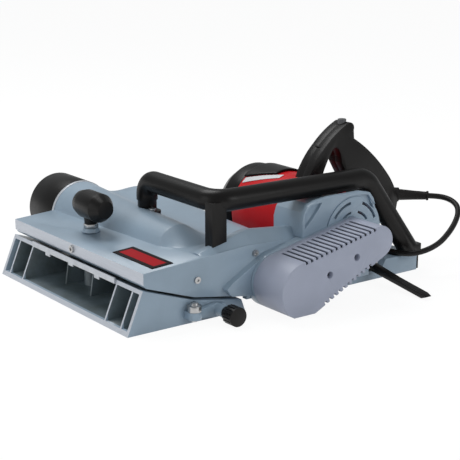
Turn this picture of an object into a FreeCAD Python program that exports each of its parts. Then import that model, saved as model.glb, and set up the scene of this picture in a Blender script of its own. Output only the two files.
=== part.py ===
"""Thickness planer for wide boards: a hand-guided planing machine as an assembly of separate pieces.

Lengths are millimetres. +X points to the belt side, +Y to the rear and +Z up. The origin is the
middle of the rear sole's lower face, and the machine stands on the plane Z = 0.
"""
import FreeCAD
import Part
import Sketcher
import math
import os

DOC = FreeCAD.newDocument("thickness_planer")
SHEET = DOC.addObject("Spreadsheet::Sheet", "Sizes")

SIZES = {
    # sole and front shoe
    "sole_width": 332.0,
    "sole_length": 487.0,
    "rear_sole_length": 246.0,
    "shoe_length": 178.0,
    "shoe_lean": 23.0,
    "shoe_front_height": 54.5,
    "shoe_knee_back": 99.0,
    "shoe_knee_height": 28.5,
    "shoe_tail_height": 15.0,
    "shoe_floor": 6.0,
    "shoe_roof": 5.5,
    "shoe_wall": 5.0,
    "rib_width": 3.0,
    "outer_rib_offset": 146.0,
    "inner_rib_offset": 109.0,
    "deep_rib_far": -54.0,
    "deep_rib_near": 12.0,
    "deep_rib_start": 39.0,
    "bay_depth": 150.0,
    "seam_gap": 4.0,
    "guide_post_radius": 6.0,
    "guide_post_offset": 127.0,
    # upper housing
    "face_back": 24.0,
    "face_bottom": 62.0,
    "face_top": 76.0,
    "deck_knee_back": 182.0,
    "deck_knee_height": 86.0,
    "deck_rear_back": 238.0,
    "deck_rear_height": 84.0,
    "housing_back": 262.0,
    "housing_skin": 6.5,
    "cheek": 8.0,
    "chamber_gap": 3.0,
    # chip channel and outlet
    "channel_back": 131.0,
    "channel_height": 69.0,
    "channel_radius": 46.0,
    "channel_near_radius": 35.0,
    "channel_near_end": 84.0,
    "channel_slope_end": 122.0,
    "channel_wall": 4.0,
    "hood_far_height": 95.0,
    "collar_length": 22.0,
    "nozzle_radius": 47.0,
    "nozzle_bore": 43.0,
    "hose_radius": 44.0,
    "hose_depth": 46.0,
    "nozzle_length": 66.0,
    "running_gap": 0.05,
    # cutter and its drive
    "cutter_ahead": 24.0,
    "cutter_height": 37.0,
    "knife_circle": 36.8,
    "block_radius": 34.5,
    "block_half_length": 155.0,
    "knife_thickness": 3.0,
    "wedge_thickness": 8.0,
    "cutter_shaft_radius": 10.0,
    "bearing_width": 8.0,
    "cutter_bearing_radius": 21.0,
    "cutter_pulley_radius": 26.0,
    "motor_pulley_radius": 13.0,
    "belt_gap": 0.3,
    "belt_thickness": 2.5,
    "belt_width": 22.0,
    "base_thickness": 14.0,
    "cover_depth": 60.0,
    "belt_inset": 15.0,
    "cover_front_radius": 37.0,
    "cover_rear_radius": 21.5,
    "cover_wall": 2.6,
    "cover_cut_height": 4.0,
    "slot_count": 15.0,
    "slot_pitch": 8.3,
    "slot_width": 3.6,
    "slot_length": 52.0,
    "slot_reach": 4.5,
    # motor
    "belt_reach": 126.0,
    "motor_height": 80.0,
    "motor_radius": 60.0,
    "motor_wall": 5.0,
    "motor_far_end": -5.0,
    "motor_near_inset": 48.0,
    "cap_end": -50.0,
    "cap_end_radius": 48.0,
    "shield_plate_offset": 4.0,
    "shield_plate_thickness": 8.0,
    "stator_bore": 33.0,
    "stator_start": 24.0,
    "stator_end": 90.0,
    "air_gap": 0.8,
    "motor_shaft_radius": 7.5,
    "motor_bearing_radius": 17.5,
    "commutator_radius": 17.0,
    "commutator_length": 20.0,
    "fan_radius": 50.0,
    # rear sole
    "sole_thickness": 14.0,
    "block_front_back": 424.0,
    "block_height": 26.0,
    "end_strip": 2.5,
    # hoop handle
    "hoop_radius": 14.5,
    "hoop_height": 144.5,
    "grip_back": 145.0,
    "grip_far_x": -11.0,
    "rail_inset": 18.0,
    "hoop_foot_height": 104.0,
    "rail_end_back": 396.0,
    "rear_leg_inset": 10.0,
    "rear_leg_back": 477.0,
    # rear switch handle
    "switch_handle_x": 90.0,
    "switch_handle_width": 28.0,
    # knob
    "knob_x": -33.0,
    "knob_back": 69.0,
    "knob_grip_radius": 19.5,
    "knob_grip_length": 60.0,
    "knob_grip_height": 116.5,
    "knob_grip_shift": 10.0,
    "spindle_radius": 6.0,
    # side clamp and rest
    "clamp_offset": 9.5,
    "clamp_back": 92.0,
    "side_knob_back": 130.0,
    "side_knob_height": 13.5,
    "side_knob_radius": 12.5,
    "rest_back": 397.0,
    "rest_height": 20.0,
    # mains cord
    "cord_diameter": 8.0,
    "coil_diameter": 92.0,
}

for row, (alias, value) in enumerate(SIZES.items(), start=1):
    SHEET.set("A%d" % row, alias)
    SHEET.set("B%d" % row, str(value))
    SHEET.setAlias("B%d" % row, alias)
DOC.recompute()


class Term:
    """A length of the sheet, or one worked out from such lengths: its value and its expression."""

    def __init__(self, value, text):
        self.value = float(value)
        self.text = text

    def __add__(self, other):
        other = term(other)
        return Term(self.value + other.value, "(%s + %s)" % (self.text, other.text))

    def __radd__(self, other):
        return term(other) + self

    def __sub__(self, other):
        other = term(other)
        return Term(self.value - other.value, "(%s - %s)" % (self.text, other.text))

    def __rsub__(self, other):
        return term(other) - self

    def __mul__(self, other):
        other = term(other)
        return Term(self.value * other.value, "(%s * %s)" % (self.text, other.text))

    def __rmul__(self, other):
        return term(other) * self

    def __truediv__(self, other):
        other = term(other)
        return Term(self.value / other.value, "(%s / %s)" % (self.text, other.text))

    def __neg__(self):
        return Term(-self.value, "(0 - %s)" % self.text)


def term(number):
    """A number as a Term."""
    if isinstance(number, Term):
        return number
    return Term(number, repr(float(number)))


def size(alias):
    """A cell of the sheet."""
    return Term(getattr(SHEET, alias), "Sizes." + alias)


def root(number):
    """Square root of a Term."""
    return Term(math.sqrt(number.value), "sqrt(%s)" % number.text)


PARTS = {}


def keep(name, thing):
    """Names a finished sub-part."""
    thing.Label = name
    PARTS[name] = thing
    return thing


# Driving places worked out from the sheet.
HALF_WIDTH = size("sole_width") / 2
REAR_END = size("rear_sole_length") / 2
FRONT_END = REAR_END - size("sole_length")


def back(distance):
    """Y of a place measured back from the front end of the sole."""
    return FRONT_END + distance


CUTTER_Y = -REAR_END - size("cutter_ahead")
CUTTER_Z = size("cutter_height")
MOTOR_Y = CUTTER_Y + size("belt_reach")
MOTOR_Z = size("motor_height")
CHANNEL_Y = back(size("channel_back"))
CHANNEL_Z = size("channel_height")
SHOE_END = back(size("shoe_length"))
HOUSING_END = back(size("housing_back"))
COVER_START = HALF_WIDTH + size("base_thickness")
COVER_END = COVER_START + size("cover_depth")
BELT_START = COVER_START + size("belt_inset")
MOTOR_NEAR_END = HALF_WIDTH - size("motor_near_inset")
SHIELD_PLATE_START = HALF_WIDTH + size("shield_plate_offset")
SHIELD_END = SHIELD_PLATE_START + size("shield_plate_thickness")
RAIL_X = HALF_WIDTH - size("rail_inset")
REAR_LEG_X = HALF_WIDTH - size("rear_leg_inset")
CLAMP_X = HALF_WIDTH + size("clamp_offset")

AXIS_TURN = {
    "X": FreeCAD.Rotation(FreeCAD.Vector(0, 1, 0), 90),
    "Y": FreeCAD.Rotation(FreeCAD.Vector(1, 0, 0), -90),
    "Z": FreeCAD.Rotation(),
}
PLANES = {"X": "YZ_Plane", "Y": "XZ_Plane", "Z": "XY_Plane"}


def place(thing, x, y, z):
    """Binds the place of an object to the sheet."""
    for letter, number in (("x", x), ("y", y), ("z", z)):
        thing.setExpression("Placement.Base." + letter, term(number).text)


def box(low, high):
    """Block between two corners."""
    thing = DOC.addObject("Part::Box", "Block")
    for side, near, far in zip(("Length", "Width", "Height"), low, high):
        thing.setExpression(side, (term(far) - term(near)).text)
    place(thing, *low)
    return thing


def rod(axis, centre, radius, start, end):
    """Cylinder along an axis; centre holds the two other coordinates in X, Y, Z order."""
    thing = DOC.addObject("Part::Cylinder", "Rod")
    thing.Placement.Rotation = AXIS_TURN[axis]
    thing.setExpression("Radius", term(radius).text)
    thing.setExpression("Height", (term(end) - term(start)).text)
    spot = list(centre)
    spot.insert("XYZ".index(axis), start)
    place(thing, *spot)
    return thing


def taper(axis, centre, start_radius, end_radius, start, end):
    """Cone frustum along an axis."""
    thing = DOC.addObject("Part::Cone", "Taper")
    thing.Placement.Rotation = AXIS_TURN[axis]
    thing.setExpression("Radius1", term(start_radius).text)
    thing.setExpression("Radius2", term(end_radius).text)
    thing.setExpression("Height", (term(end) - term(start)).text)
    spot = list(centre)
    spot.insert("XYZ".index(axis), start)
    place(thing, *spot)
    return thing


def fuse(*things):
    """One solid, or a group, of several objects."""
    thing = DOC.addObject("Part::MultiFuse", "Union")
    thing.Shapes = list(things)
    return thing


def cut(base, *tools):
    """A base with the tools taken away."""
    thing = DOC.addObject("Part::Cut", "Rest")
    thing.Base = base
    thing.Tool = tools[0] if len(tools) == 1 else fuse(*tools)
    return thing


def common(base, tool):
    """What two objects share."""
    thing = DOC.addObject("Part::Common", "Shared")
    thing.Base = base
    thing.Tool = tool
    return thing


def shape(solid):
    """Object that holds a shape made from the sheet's values."""
    thing = DOC.addObject("Part::Feature", "Formed")
    thing.Shape = solid
    return thing


def body(name):
    """Empty PartDesign body."""
    return DOC.addObject("PartDesign::Body", name)


def sketch(owner, axis, offset):
    """Sketch across an axis of its body, at an offset along that axis."""
    plane = [p for p in owner.Origin.OriginFeatures if p.Role == PLANES[axis]][0]
    drawing = owner.newObject("Sketcher::SketchObject", "Outline")
    drawing.AttachmentSupport = [(plane, "")]
    drawing.MapMode = "FlatFace"
    shift = -term(offset) if axis == "Y" else term(offset)
    drawing.setExpression("AttachmentOffset.Base.z", shift.text)
    return drawing


def fix(drawing, geometry, end, across, up):
    """Holds one point of a sketch at two lengths of the sheet."""
    for kind, number in (("DistanceX", across), ("DistanceY", up)):
        rule = drawing.addConstraint(Sketcher.Constraint(kind, -1, 1, geometry, end, term(number).value))
        drawing.setExpression("Constraints[%d]" % rule, term(number).text)


def polygon(drawing, points):
    """Closed outline of straight sides."""
    points = [(term(a), term(b)) for a, b in points]
    first = drawing.GeometryCount
    count = len(points)
    for n, (across, up) in enumerate(points):
        after = points[(n + 1) % count]
        start = FreeCAD.Vector(across.value, up.value, 0)
        drawing.addGeometry(Part.LineSegment(start, FreeCAD.Vector(after[0].value, after[1].value, 0)))
    for n in range(count):
        joined = first + (n + 1) % count
        drawing.addConstraint(Sketcher.Constraint("Coincident", first + n, 2, joined, 1))
    for n, (across, up) in enumerate(points):
        fix(drawing, first + n, 1, across, up)


def circle(drawing, across, up, radius):
    """Circle in a sketch."""
    centre = FreeCAD.Vector(term(across).value, term(up).value, 0)
    number = drawing.addGeometry(Part.Circle(centre, FreeCAD.Vector(0, 0, 1), term(radius).value))
    fix(drawing, number, 3, across, up)
    rule = drawing.addConstraint(Sketcher.Constraint("Radius", number, term(radius).value))
    drawing.setExpression("Constraints[%d]" % rule, term(radius).text)


def pad(owner, axis, start, end, draw):
    """Adds material between two places along an axis."""
    start, end = term(start), term(end)
    drawing = sketch(owner, axis, (start + end) / 2)
    draw(drawing)
    feature = owner.newObject("PartDesign::Pad", "Pad")
    feature.Profile = drawing
    feature.Midplane = True
    feature.setExpression("Length", (end - start).text)
    return feature


def pocket(owner, axis, start, end, draw):
    """Takes material away between two places along an axis."""
    start, end = term(start), term(end)
    drawing = sketch(owner, axis, (start + end) / 2)
    draw(drawing)
    feature = owner.newObject("PartDesign::Pocket", "Pocket")
    feature.Profile = drawing
    feature.Midplane = True
    feature.setExpression("Length", (end - start).text)
    return feature


def plate(name, axis, start, end, points):
    """Body of one padded polygon."""
    owner = body(name)
    pad(owner, axis, start, end, lambda drawing: polygon(drawing, points))
    return owner


def ring(axis, centre, outer, inner, start, end):
    """Tube along an axis, as a body with one padded pair of circles."""
    owner = body("Ring")

    def draw(drawing):
        circle(drawing, centre[0], centre[1], outer)
        circle(drawing, centre[0], centre[1], inner)

    pad(owner, axis, start, end, draw)
    return owner


def belt_outline(drawing, extra):
    """Outline that goes round the cutter axle and the motor axle, grown by extra; radii at both."""
    spots = [(CUTTER_Y, CUTTER_Z, extra[0]), (MOTOR_Y, MOTOR_Z, extra[1])]
    run = FreeCAD.Vector(MOTOR_Y.value - CUTTER_Y.value, MOTOR_Z.value - CUTTER_Z.value, 0)
    turn = math.atan2(run.y, run.x)
    lean = math.acos((extra[0].value - extra[1].value) / run.Length)
    spans = [(turn + lean, turn - lean + 2 * math.pi), (turn - lean, turn + lean)]
    for (across, up, radius), (start, end) in zip(spots, spans):
        centre = FreeCAD.Vector(across.value, up.value, 0)
        whole = Part.Circle(centre, FreeCAD.Vector(0, 0, 1), radius.value)
        number = drawing.addGeometry(Part.ArcOfCircle(whole, start, end))
        fix(drawing, number, 3, across, up)
        rule = drawing.addConstraint(Sketcher.Constraint("Radius", number, radius.value))
        drawing.setExpression("Constraints[%d]" % rule, radius.text)
    ends = [drawing.getPoint(0, 1), drawing.getPoint(0, 2), drawing.getPoint(1, 1), drawing.getPoint(1, 2)]
    drawing.addGeometry(Part.LineSegment(ends[1], ends[2]))
    drawing.addGeometry(Part.LineSegment(ends[3], ends[0]))
    for arc, arc_end, line, line_end in ((0, 2, 2, 1), (1, 1, 2, 2), (1, 2, 3, 1), (0, 1, 3, 2)):
        drawing.addConstraint(Sketcher.Constraint("Tangent", arc, arc_end, line, line_end))


def belt_shape(start, end, front_radius, rear_radius):
    """Solid with the outline of the belt drive between two places along X."""
    owner = body("BeltShape")
    pad(owner, "X", start, end, lambda drawing: belt_outline(drawing, (front_radius, rear_radius)))
    return owner


def vector(x, y, z):
    """Point of three Terms or numbers."""
    return FreeCAD.Vector(term(x).value, term(y).value, term(z).value)


def rounded_path(points, radii):
    """Wire of straight runs joined by tangent arcs; one radius per inner point."""
    edges = []
    start = points[0]
    for n in range(1, len(points) - 1):
        before = (points[n - 1] - points[n]).normalize()
        after = (points[n + 1] - points[n]).normalize()
        half = (math.pi - before.getAngle(after)) / 2
        trim = radii[n - 1] * math.tan(half)
        first = points[n] + before * trim
        last = points[n] + after * trim
        inward = (before + after).normalize()
        centre = points[n] + inward * (radii[n - 1] / math.cos(half))
        middle = centre - inward * radii[n - 1]
        edges.append(Part.LineSegment(start, first).toShape())
        edges.append(Part.Arc(first, middle, last).toShape())
        start = last
    edges.append(Part.LineSegment(start, points[-1]).toShape())
    return Part.Wire(edges)


def tube_along(points, radii, radius):
    """Round bar along a rounded path."""
    path = rounded_path(points, radii)
    heading = (points[1] - points[0]).normalize()
    section = Part.Wire([Part.Circle(points[0], heading, radius).toShape()])
    return path.makePipeShell([section], True, True), path


# ---------------------------------------------------------------- front shoe

def shoe_roof(distance, drop):
    """Height of the shoe's sloping roof at a distance back from the front, less a drop."""
    front = size("shoe_front_height")
    knee = size("shoe_knee_height")
    lean = size("shoe_lean")
    knee_back = size("shoe_knee_back")
    if term(distance).value <= knee_back.value:
        return front - (term(distance) - lean) * (front - knee) / (knee_back - lean) - drop
    tail = size("shoe_tail_height")
    length = size("shoe_length")
    return knee - (term(distance) - knee_back) * (knee - tail) / (length - knee_back) - drop


KNOB_Y = back(size("knob_back"))


def build_front_shoe():
    """Hollow, ribbed casting with an open, sloping mouth; it slides up and down under the housing."""
    shoe = body("FrontShoe")
    knee = size("shoe_knee_back")
    lean = size("shoe_lean")
    tail_start = size("shoe_length")
    pad(shoe, "X", -HALF_WIDTH, HALF_WIDTH, lambda d: polygon(d, [
        (FRONT_END, 0),
        (SHOE_END, 0),
        (back(tail_start - 6), shoe_roof(tail_start - 6, 0)),
        (back(knee), shoe_roof(knee, 0)),
        (back(lean), shoe_roof(lean, 0)),
    ]))
    floor = size("shoe_floor")
    roof = size("shoe_roof")
    depth = size("bay_depth")
    mouth = -20.0
    bay = [
        (back(mouth), floor),
        (back(depth), floor),
        (back(depth), shoe_roof(depth, roof)),
        (back(knee), shoe_roof(knee, roof)),
        (back(mouth), shoe_roof(mouth, roof)),
    ]
    half_rib = size("rib_width") / 2
    outer = size("outer_rib_offset")
    inner = size("inner_rib_offset")
    wall = HALF_WIDTH - size("shoe_wall")
    bays = [
        (-wall, -outer - half_rib),
        (half_rib - outer, -inner - half_rib),
        (half_rib - inner, inner - half_rib),
        (inner + half_rib, outer - half_rib),
        (outer + half_rib, wall),
    ]
    for start, end in bays:
        pocket(shoe, "X", start, end, lambda d: polygon(d, bay))
    deep = size("deep_rib_start")
    rib = [
        (back(deep), floor - 1),
        (back(depth + 1), floor - 1),
        (back(depth + 1), shoe_roof(depth + 1, roof - 1)),
        (back(knee), shoe_roof(knee, roof - 1)),
        (back(deep + 6), shoe_roof(deep + 6, roof - 1)),
    ]
    for middle in (size("deep_rib_far"), size("deep_rib_near")):
        pad(shoe, "X", middle - half_rib, middle + half_rib, lambda d: polygon(d, rib))
    spindle = size("spindle_radius")
    knob_roof = shoe_roof(size("knob_back"), roof / 2)
    pad(shoe, "Z", floor - 1, knob_roof, lambda d: circle(d, size("knob_x"), KNOB_Y, spindle + 5))
    spindle_hole = spindle + size("running_gap")
    pocket(shoe, "Z", floor + 4, 80, lambda d: circle(d, size("knob_x"), KNOB_Y, spindle_hole))
    post_hole = size("guide_post_radius") + size("running_gap")
    for side in (-1, 1):
        x = size("guide_post_offset") * side
        column = size("guide_post_radius") + 4
        pad(shoe, "Z", floor - 1, shoe_roof(knee, roof / 2), lambda d: circle(d, x, back(knee), column))
        pocket(shoe, "Z", floor + 2, 80, lambda d: circle(d, x, back(knee), post_hole))
    throat = rod("X", (CUTTER_Y, CUTTER_Z), size("knife_circle") + size("chamber_gap"), -170, 170)
    keep("front_shoe", cut(shoe, throat))

    strip = body("GuideStrip")
    strip_back = lean - 4.4
    top = size("shoe_front_height") + 3.0
    end = inner - 2
    pad(strip, "Y", back(strip_back), back(strip_back + 2), lambda d: polygon(d, [
        (-end, top), (-end, top - 7), (-70, top - 7), (-70, top - 11), (-58, top - 11),
        (-58, top - 7), (-8, top - 7), (-8, top - 10), (4, top - 10), (4, top - 7), (58, top - 7),
        (58, top - 11), (70, top - 11), (70, top - 7), (end, top - 7), (end, top),
    ]))
    keep("guide_strip", strip)


def build_fence_clamp():
    """Side bracket with its bolt, and the knurled clamp screw that turns in it."""
    clamp_y = back(size("clamp_back"))
    clamp_x = CLAMP_X
    knob_y = back(size("side_knob_back"))
    knob_z = size("side_knob_height")
    side = HALF_WIDTH
    lug = rod("Z", (clamp_x, clamp_y), 9, 8, 18)
    base = box((side, clamp_y - 9, 8), (clamp_x, clamp_y + 9, 18))
    arm = plate("Arm", "X", side + 2, side + 9, [
        (clamp_y, 8), (knob_y - 4, 5), (knob_y + 8, 6), (knob_y + 9, 20), (knob_y - 3, 22),
        (clamp_y + 10, 18), (clamp_y, 18),
    ])
    boss = rod("X", (knob_y, knob_z), 8, side + 2, side + 24)
    screw_hole = rod("X", (knob_y, knob_z), 4 + size("running_gap"), side + 1, side + 30)
    bolt_hole = rod("Z", (clamp_x, clamp_y), 4.05, 0, 30)
    keep("fence_bracket", cut(fuse(lug, base, arm, boss), screw_hole, bolt_hole))
    shank = rod("Z", (clamp_x, clamp_y), 4, 5, 28)
    collar = rod("Z", (clamp_x, clamp_y), 9, 18, 26)
    head = taper("Z", (clamp_x, clamp_y), 6.5, 4.5, 26, 30)
    keep("bracket_bolt", fuse(shank, collar, head))
    radius = size("side_knob_radius")
    knob = rod("X", (knob_y, knob_z), radius, side + 32, side + 50)
    neck = taper("X", (knob_y, knob_z), 7.5, 9, side + 24.3, side + 32)
    stem = rod("X", (knob_y, knob_z), 4, side + 3, side + 44)
    flutes = []
    for step in range(16):
        angle = 2 * math.pi * step / 16
        middle = (knob_y + radius * math.cos(angle), knob_z + radius * math.sin(angle))
        flutes.append(rod("X", middle, 1.1, side + 31, side + 48.5))
    bore = rod("X", (knob_y, knob_z), 4, side + 3, side + 44)
    keep("fence_knob", cut(fuse(cut(knob, *flutes), neck), bore))
    keep("fence_knob_screw", stem)


# ---------------------------------------------------------------- upper housing

def section_wire(x, points):
    """Closed curve across X: a smooth line through the points, shut by a straight foot."""
    spots = [vector(x, back(distance), height) for distance, height in points]
    curve = Part.BSplineCurve()
    curve.interpolate(spots)
    foot = Part.LineSegment(spots[-1], spots[0])
    return Part.Wire([curve.toShape(), foot.toShape()])


def channel_sections():
    """Cross sections of the chip channel and cutter hood, from the far side to the near end."""
    middle = size("channel_back").value
    height = size("channel_height").value
    far = size("channel_radius").value
    near = size("channel_near_radius").value
    rear = size("deck_rear_back").value
    hood = size("hood_far_height").value
    deck = size("deck_rear_height").value
    foot = 72.0

    def hump(radius, tail):
        points = [(middle - radius, foot)]
        for degrees in (160, 135, 110, 90, 68, 45):
            angle = math.radians(degrees)
            points.append((middle + radius * math.cos(angle), height + radius * math.sin(angle)))
        points += [(middle + radius + 12, tail - 1), (rear - 20, tail + 1), (rear + 6, tail - 4)]
        points.append((rear + 14, foot))
        return points

    low = [(middle - 26, foot + 5), (middle - 10, foot + 8), (middle + 20, foot + 11)]
    low += [(rear - 20, deck + 1), (rear + 6, deck - 4), (rear + 14, foot)]
    return [
        (-HALF_WIDTH.value, hump(far, hood)),
        (size("channel_near_end").value, hump(near, deck + 2)),
        (size("channel_slope_end").value, low),
    ]


def build_housing():
    """Upper casting: deck, cheeks, cutter hood, chip channel and the near fairing."""
    skin = size("housing_skin")
    face = size("face_back")
    knee_back = size("shoe_knee_back")
    gap = size("seam_gap")
    deck = body("Deck")
    pad(deck, "X", -HALF_WIDTH, HALF_WIDTH, lambda d: polygon(d, [
        (back(face), size("face_bottom")),
        (back(face), size("face_top")),
        (back(size("deck_knee_back")), size("deck_knee_height")),
        (back(size("deck_rear_back")), size("deck_rear_height")),
        (HOUSING_END, size("deck_rear_height") - 12),
        (HOUSING_END, size("sole_thickness")),
        (back(size("shoe_length") + 2), size("sole_thickness")),
        (back(size("shoe_length") + 2), shoe_roof(size("shoe_length"), -gap)),
        (back(knee_back), shoe_roof(knee_back, -gap)),
        (back(face + 4), shoe_roof(face + 4, -gap)),
    ]))
    inner = HALF_WIDTH - size("cheek")
    pocket(deck, "X", -inner, inner, lambda d: polygon(d, [
        (back(face + 8), 20),
        (back(face + 8), size("face_top") - skin),
        (back(size("deck_knee_back")), size("deck_knee_height") - skin),
        (back(size("deck_rear_back")), size("deck_rear_height") - skin),
        (HOUSING_END - 8, size("deck_rear_height") - 18),
        (HOUSING_END - 8, 0),
        (back(face + 8), 0),
    ]))
    wires = channel_sections()
    hood = shape(Part.makeLoft([section_wire(x, points) for x, points in wires[:2]], True, True))
    slope = shape(Part.makeLoft([section_wire(x, points) for x, points in wires[1:]], True, True))
    return deck, hood, slope


def finish_housing():
    """Joins the casting and cuts its bores."""
    deck, hood, slope = build_housing()
    wall = size("channel_wall")
    duct = taper("X", (CHANNEL_Y, CHANNEL_Z), size("channel_radius") - wall - 1,
                 size("channel_near_radius") - wall - 6, -HALF_WIDTH - 5, size("channel_near_end") - 6)
    fairing_sections = []
    for distance, ridge, outer in ((112.0, 84.0, 79.5), (190.0, 103.0, 84.5), (262.0, 96.0, 80.0)):
        points = [
            (108, 76), (134, ridge - 5), (148, ridge), (154, ridge), (HALF_WIDTH, outer),
            (HALF_WIDTH, 70), (108, 70),
        ]
        corners = [vector(x, back(distance), z) for x, z in points]
        fairing_sections.append(Part.makePolygon(corners + corners[:1]))
    fairing = shape(Part.makeLoft(fairing_sections, True, True))
    bulge = plate("Bulge", "X", HALF_WIDTH - 4, COVER_START - 4, [
        (back(190), 20), (back(150), 26), (back(142), 36), (back(152), 44), (back(192), 66), (back(215), 68),
        (back(215), 20),
    ])
    cheek = size("cheek")
    cutter = (CUTTER_Y, CUTTER_Z)
    chamber = rod("X", cutter, size("knife_circle") + size("chamber_gap"), -HALF_WIDTH + cheek,
                  HALF_WIDTH - cheek)
    bearing_bore = rod("X", cutter, size("cutter_bearing_radius"), -HALF_WIDTH - 1, HALF_WIDTH + 20)
    motor_room = rod("X", (MOTOR_Y, MOTOR_Z), size("motor_radius") + 1, -200, COVER_START)
    spindle_way = rod("Z", (size("knob_x"), KNOB_Y), size("spindle_radius") + 2, 20, 95)
    drive_room = belt_shape(HALF_WIDTH, COVER_START, size("cover_front_radius") + 0.3,
                            size("cover_rear_radius") + 0.3)
    posts = [rod("Z", (size("guide_post_offset") * side, back(size("shoe_knee_back"))),
                 size("guide_post_radius"), 20, 60) for side in (-1, 1)]
    screw_spot = (size("grip_far_x") + 19, back(size("grip_back")) - 4)
    screw_hole = rod("Z", screw_spot, 3, 85, 125)
    screw_seat = rod("Z", screw_spot, 5.6, size("hoop_foot_height") + 1.8, 125)
    whole = fuse(deck, hood, slope, fairing, bulge)
    keep("main_housing", cut(whole, duct, chamber, bearing_bore, motor_room, spindle_way, drive_room,
                             screw_hole, screw_seat, *posts))


def build_housing_fittings():
    """Posts that guide the shoe, side screws, front bolt, badge and knob bush."""
    knee = back(size("shoe_knee_back"))
    posts = [rod("Z", (size("guide_post_offset") * side, knee), size("guide_post_radius"), 14, 60)
             for side in (-1, 1)]
    keep("guide_posts", fuse(*posts))
    screws = []
    for distance, height in ((102.8, 54.4), (193.6, 73.9)):
        head = rod("X", (back(distance), height), 4.4, HALF_WIDTH, HALF_WIDTH + 2.5)
        socket = rod("X", (back(distance), height), 2.0, HALF_WIDTH + 0.8, HALF_WIDTH + 4)
        screws.append(cut(head, socket))
    keep("side_screws", fuse(*screws))
    face = back(size("face_back"))
    bolt_z = (size("face_bottom") + size("face_top")) / 2
    head = rod("Y", (-5, bolt_z), 5.0, face - 3, face)
    keep("front_bolt", cut(head, rod("Y", (-5, bolt_z), 2.4, face - 4, face - 1.5)))
    slope = (size("deck_knee_height") - size("face_top")) / (size("deck_knee_back") - size("face_back"))
    start = 42.0
    end = 73.0
    rise_start = size("face_top") + (start - size("face_back")) * slope
    rise_end = size("face_top") + (end - size("face_back")) * slope
    keep("badge_plate", plate("Badge", "X", 66, 158, [
        (back(start), rise_start), (back(end), rise_end), (back(end), rise_end + 1),
        (back(start), rise_start + 1),
    ]))
    spindle = size("spindle_radius") + size("running_gap")
    bush = fuse(rod("Z", (size("knob_x"), KNOB_Y), size("spindle_radius") + 2, 62, 80),
                taper("Z", (size("knob_x"), KNOB_Y), 12, 10, 79.6, 85))
    keep("knob_bush", cut(bush, rod("Z", (size("knob_x"), KNOB_Y), spindle, 0, 120)))


def build_depth_knob():
    """Barrel grip on a threaded spindle with its lock nut."""
    x = size("knob_x")
    height = size("knob_grip_height")
    radius = size("knob_grip_radius")
    half = size("knob_grip_length") / 2
    middle = x + size("knob_grip_shift")
    barrel = fuse(rod("X", (KNOB_Y, height), radius, middle - half + 12, middle + half - 14),
                  taper("X", (KNOB_Y, height), radius - 3, radius, middle - half, middle - half + 12),
                  taper("X", (KNOB_Y, height), radius, radius - 8, middle + half - 14, middle + half))
    stem = taper("Z", (x, KNOB_Y), 8.5, 11, 91, height)
    bore = rod("Z", (x, KNOB_Y), size("spindle_radius"), 20, height)
    keep("knob_grip", cut(fuse(barrel, stem), bore))
    keep("knob_spindle", rod("Z", (x, KNOB_Y), size("spindle_radius"), 14, height))
    nut = DOC.addObject("Part::Prism", "Hexagon")
    nut.Polygon = 6
    nut.Circumradius = 10
    nut.setExpression("Height", "5.6")
    place(nut, x, KNOB_Y, 85.3)
    keep("knob_nut", cut(nut, rod("Z", (x, KNOB_Y), size("spindle_radius"), 80, 95)))


def build_outlet():
    """Silver collar of the chip outlet and the black nozzle that turns on it."""
    start = -HALF_WIDTH
    neck_end = start - size("collar_length")
    outer = size("nozzle_radius")
    bore = size("nozzle_bore")
    sleeve = bore - size("running_gap")
    collar = ring("X", (CHANNEL_Y, CHANNEL_Z), outer, bore - 4, start - 5, start)
    neck = ring("X", (CHANNEL_Y, CHANNEL_Z), sleeve, bore - 4, neck_end, start - 4)
    keep("chip_collar", fuse(collar, neck))
    nozzle_start = start - 5.3
    nozzle_end = nozzle_start - size("nozzle_length")
    nozzle = ring("X", (CHANNEL_Y, CHANNEL_Z), outer, bore, nozzle_end, nozzle_start)
    mouth = rod("X", (CHANNEL_Y, CHANNEL_Z), size("hose_radius"), nozzle_end - 1,
                nozzle_end + size("hose_depth"))
    keep("chip_nozzle", cut(nozzle, mouth))


# ---------------------------------------------------------------- rear sole and belt drive

def build_rear_sole():
    """Rear casting that carries the machine, with the motor cradle and the end strip."""
    end = REAR_END - size("end_strip")
    block = back(size("block_front_back"))
    thick = size("sole_thickness")
    high = size("block_height")
    plain = plate("Sole", "X", -HALF_WIDTH, HALF_WIDTH, [
        (-REAR_END, 0), (end, 0), (end, high - 3), (end - 4, high), (block, high), (block - 7, thick),
        (-REAR_END, thick),
    ])
    cradle = plate("Cradle", "X", size("motor_far_end"), MOTOR_NEAR_END, [
        (HOUSING_END + 1, thick - 1), (HOUSING_END + 1, 62), (MOTOR_Y + 52, 62), (MOTOR_Y + 58, thick - 1),
    ])
    room = rod("X", (MOTOR_Y, MOTOR_Z), size("motor_radius"), -200, 200)
    throat = rod("X", (CUTTER_Y, CUTTER_Z), size("knife_circle") + size("chamber_gap"), -170, 170)
    keep("rear_sole", cut(fuse(plain, cradle), room, throat))
    keep("rear_end_strip", box((-HALF_WIDTH, end, 2), (HALF_WIDTH, REAR_END, high - 4)))


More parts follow.
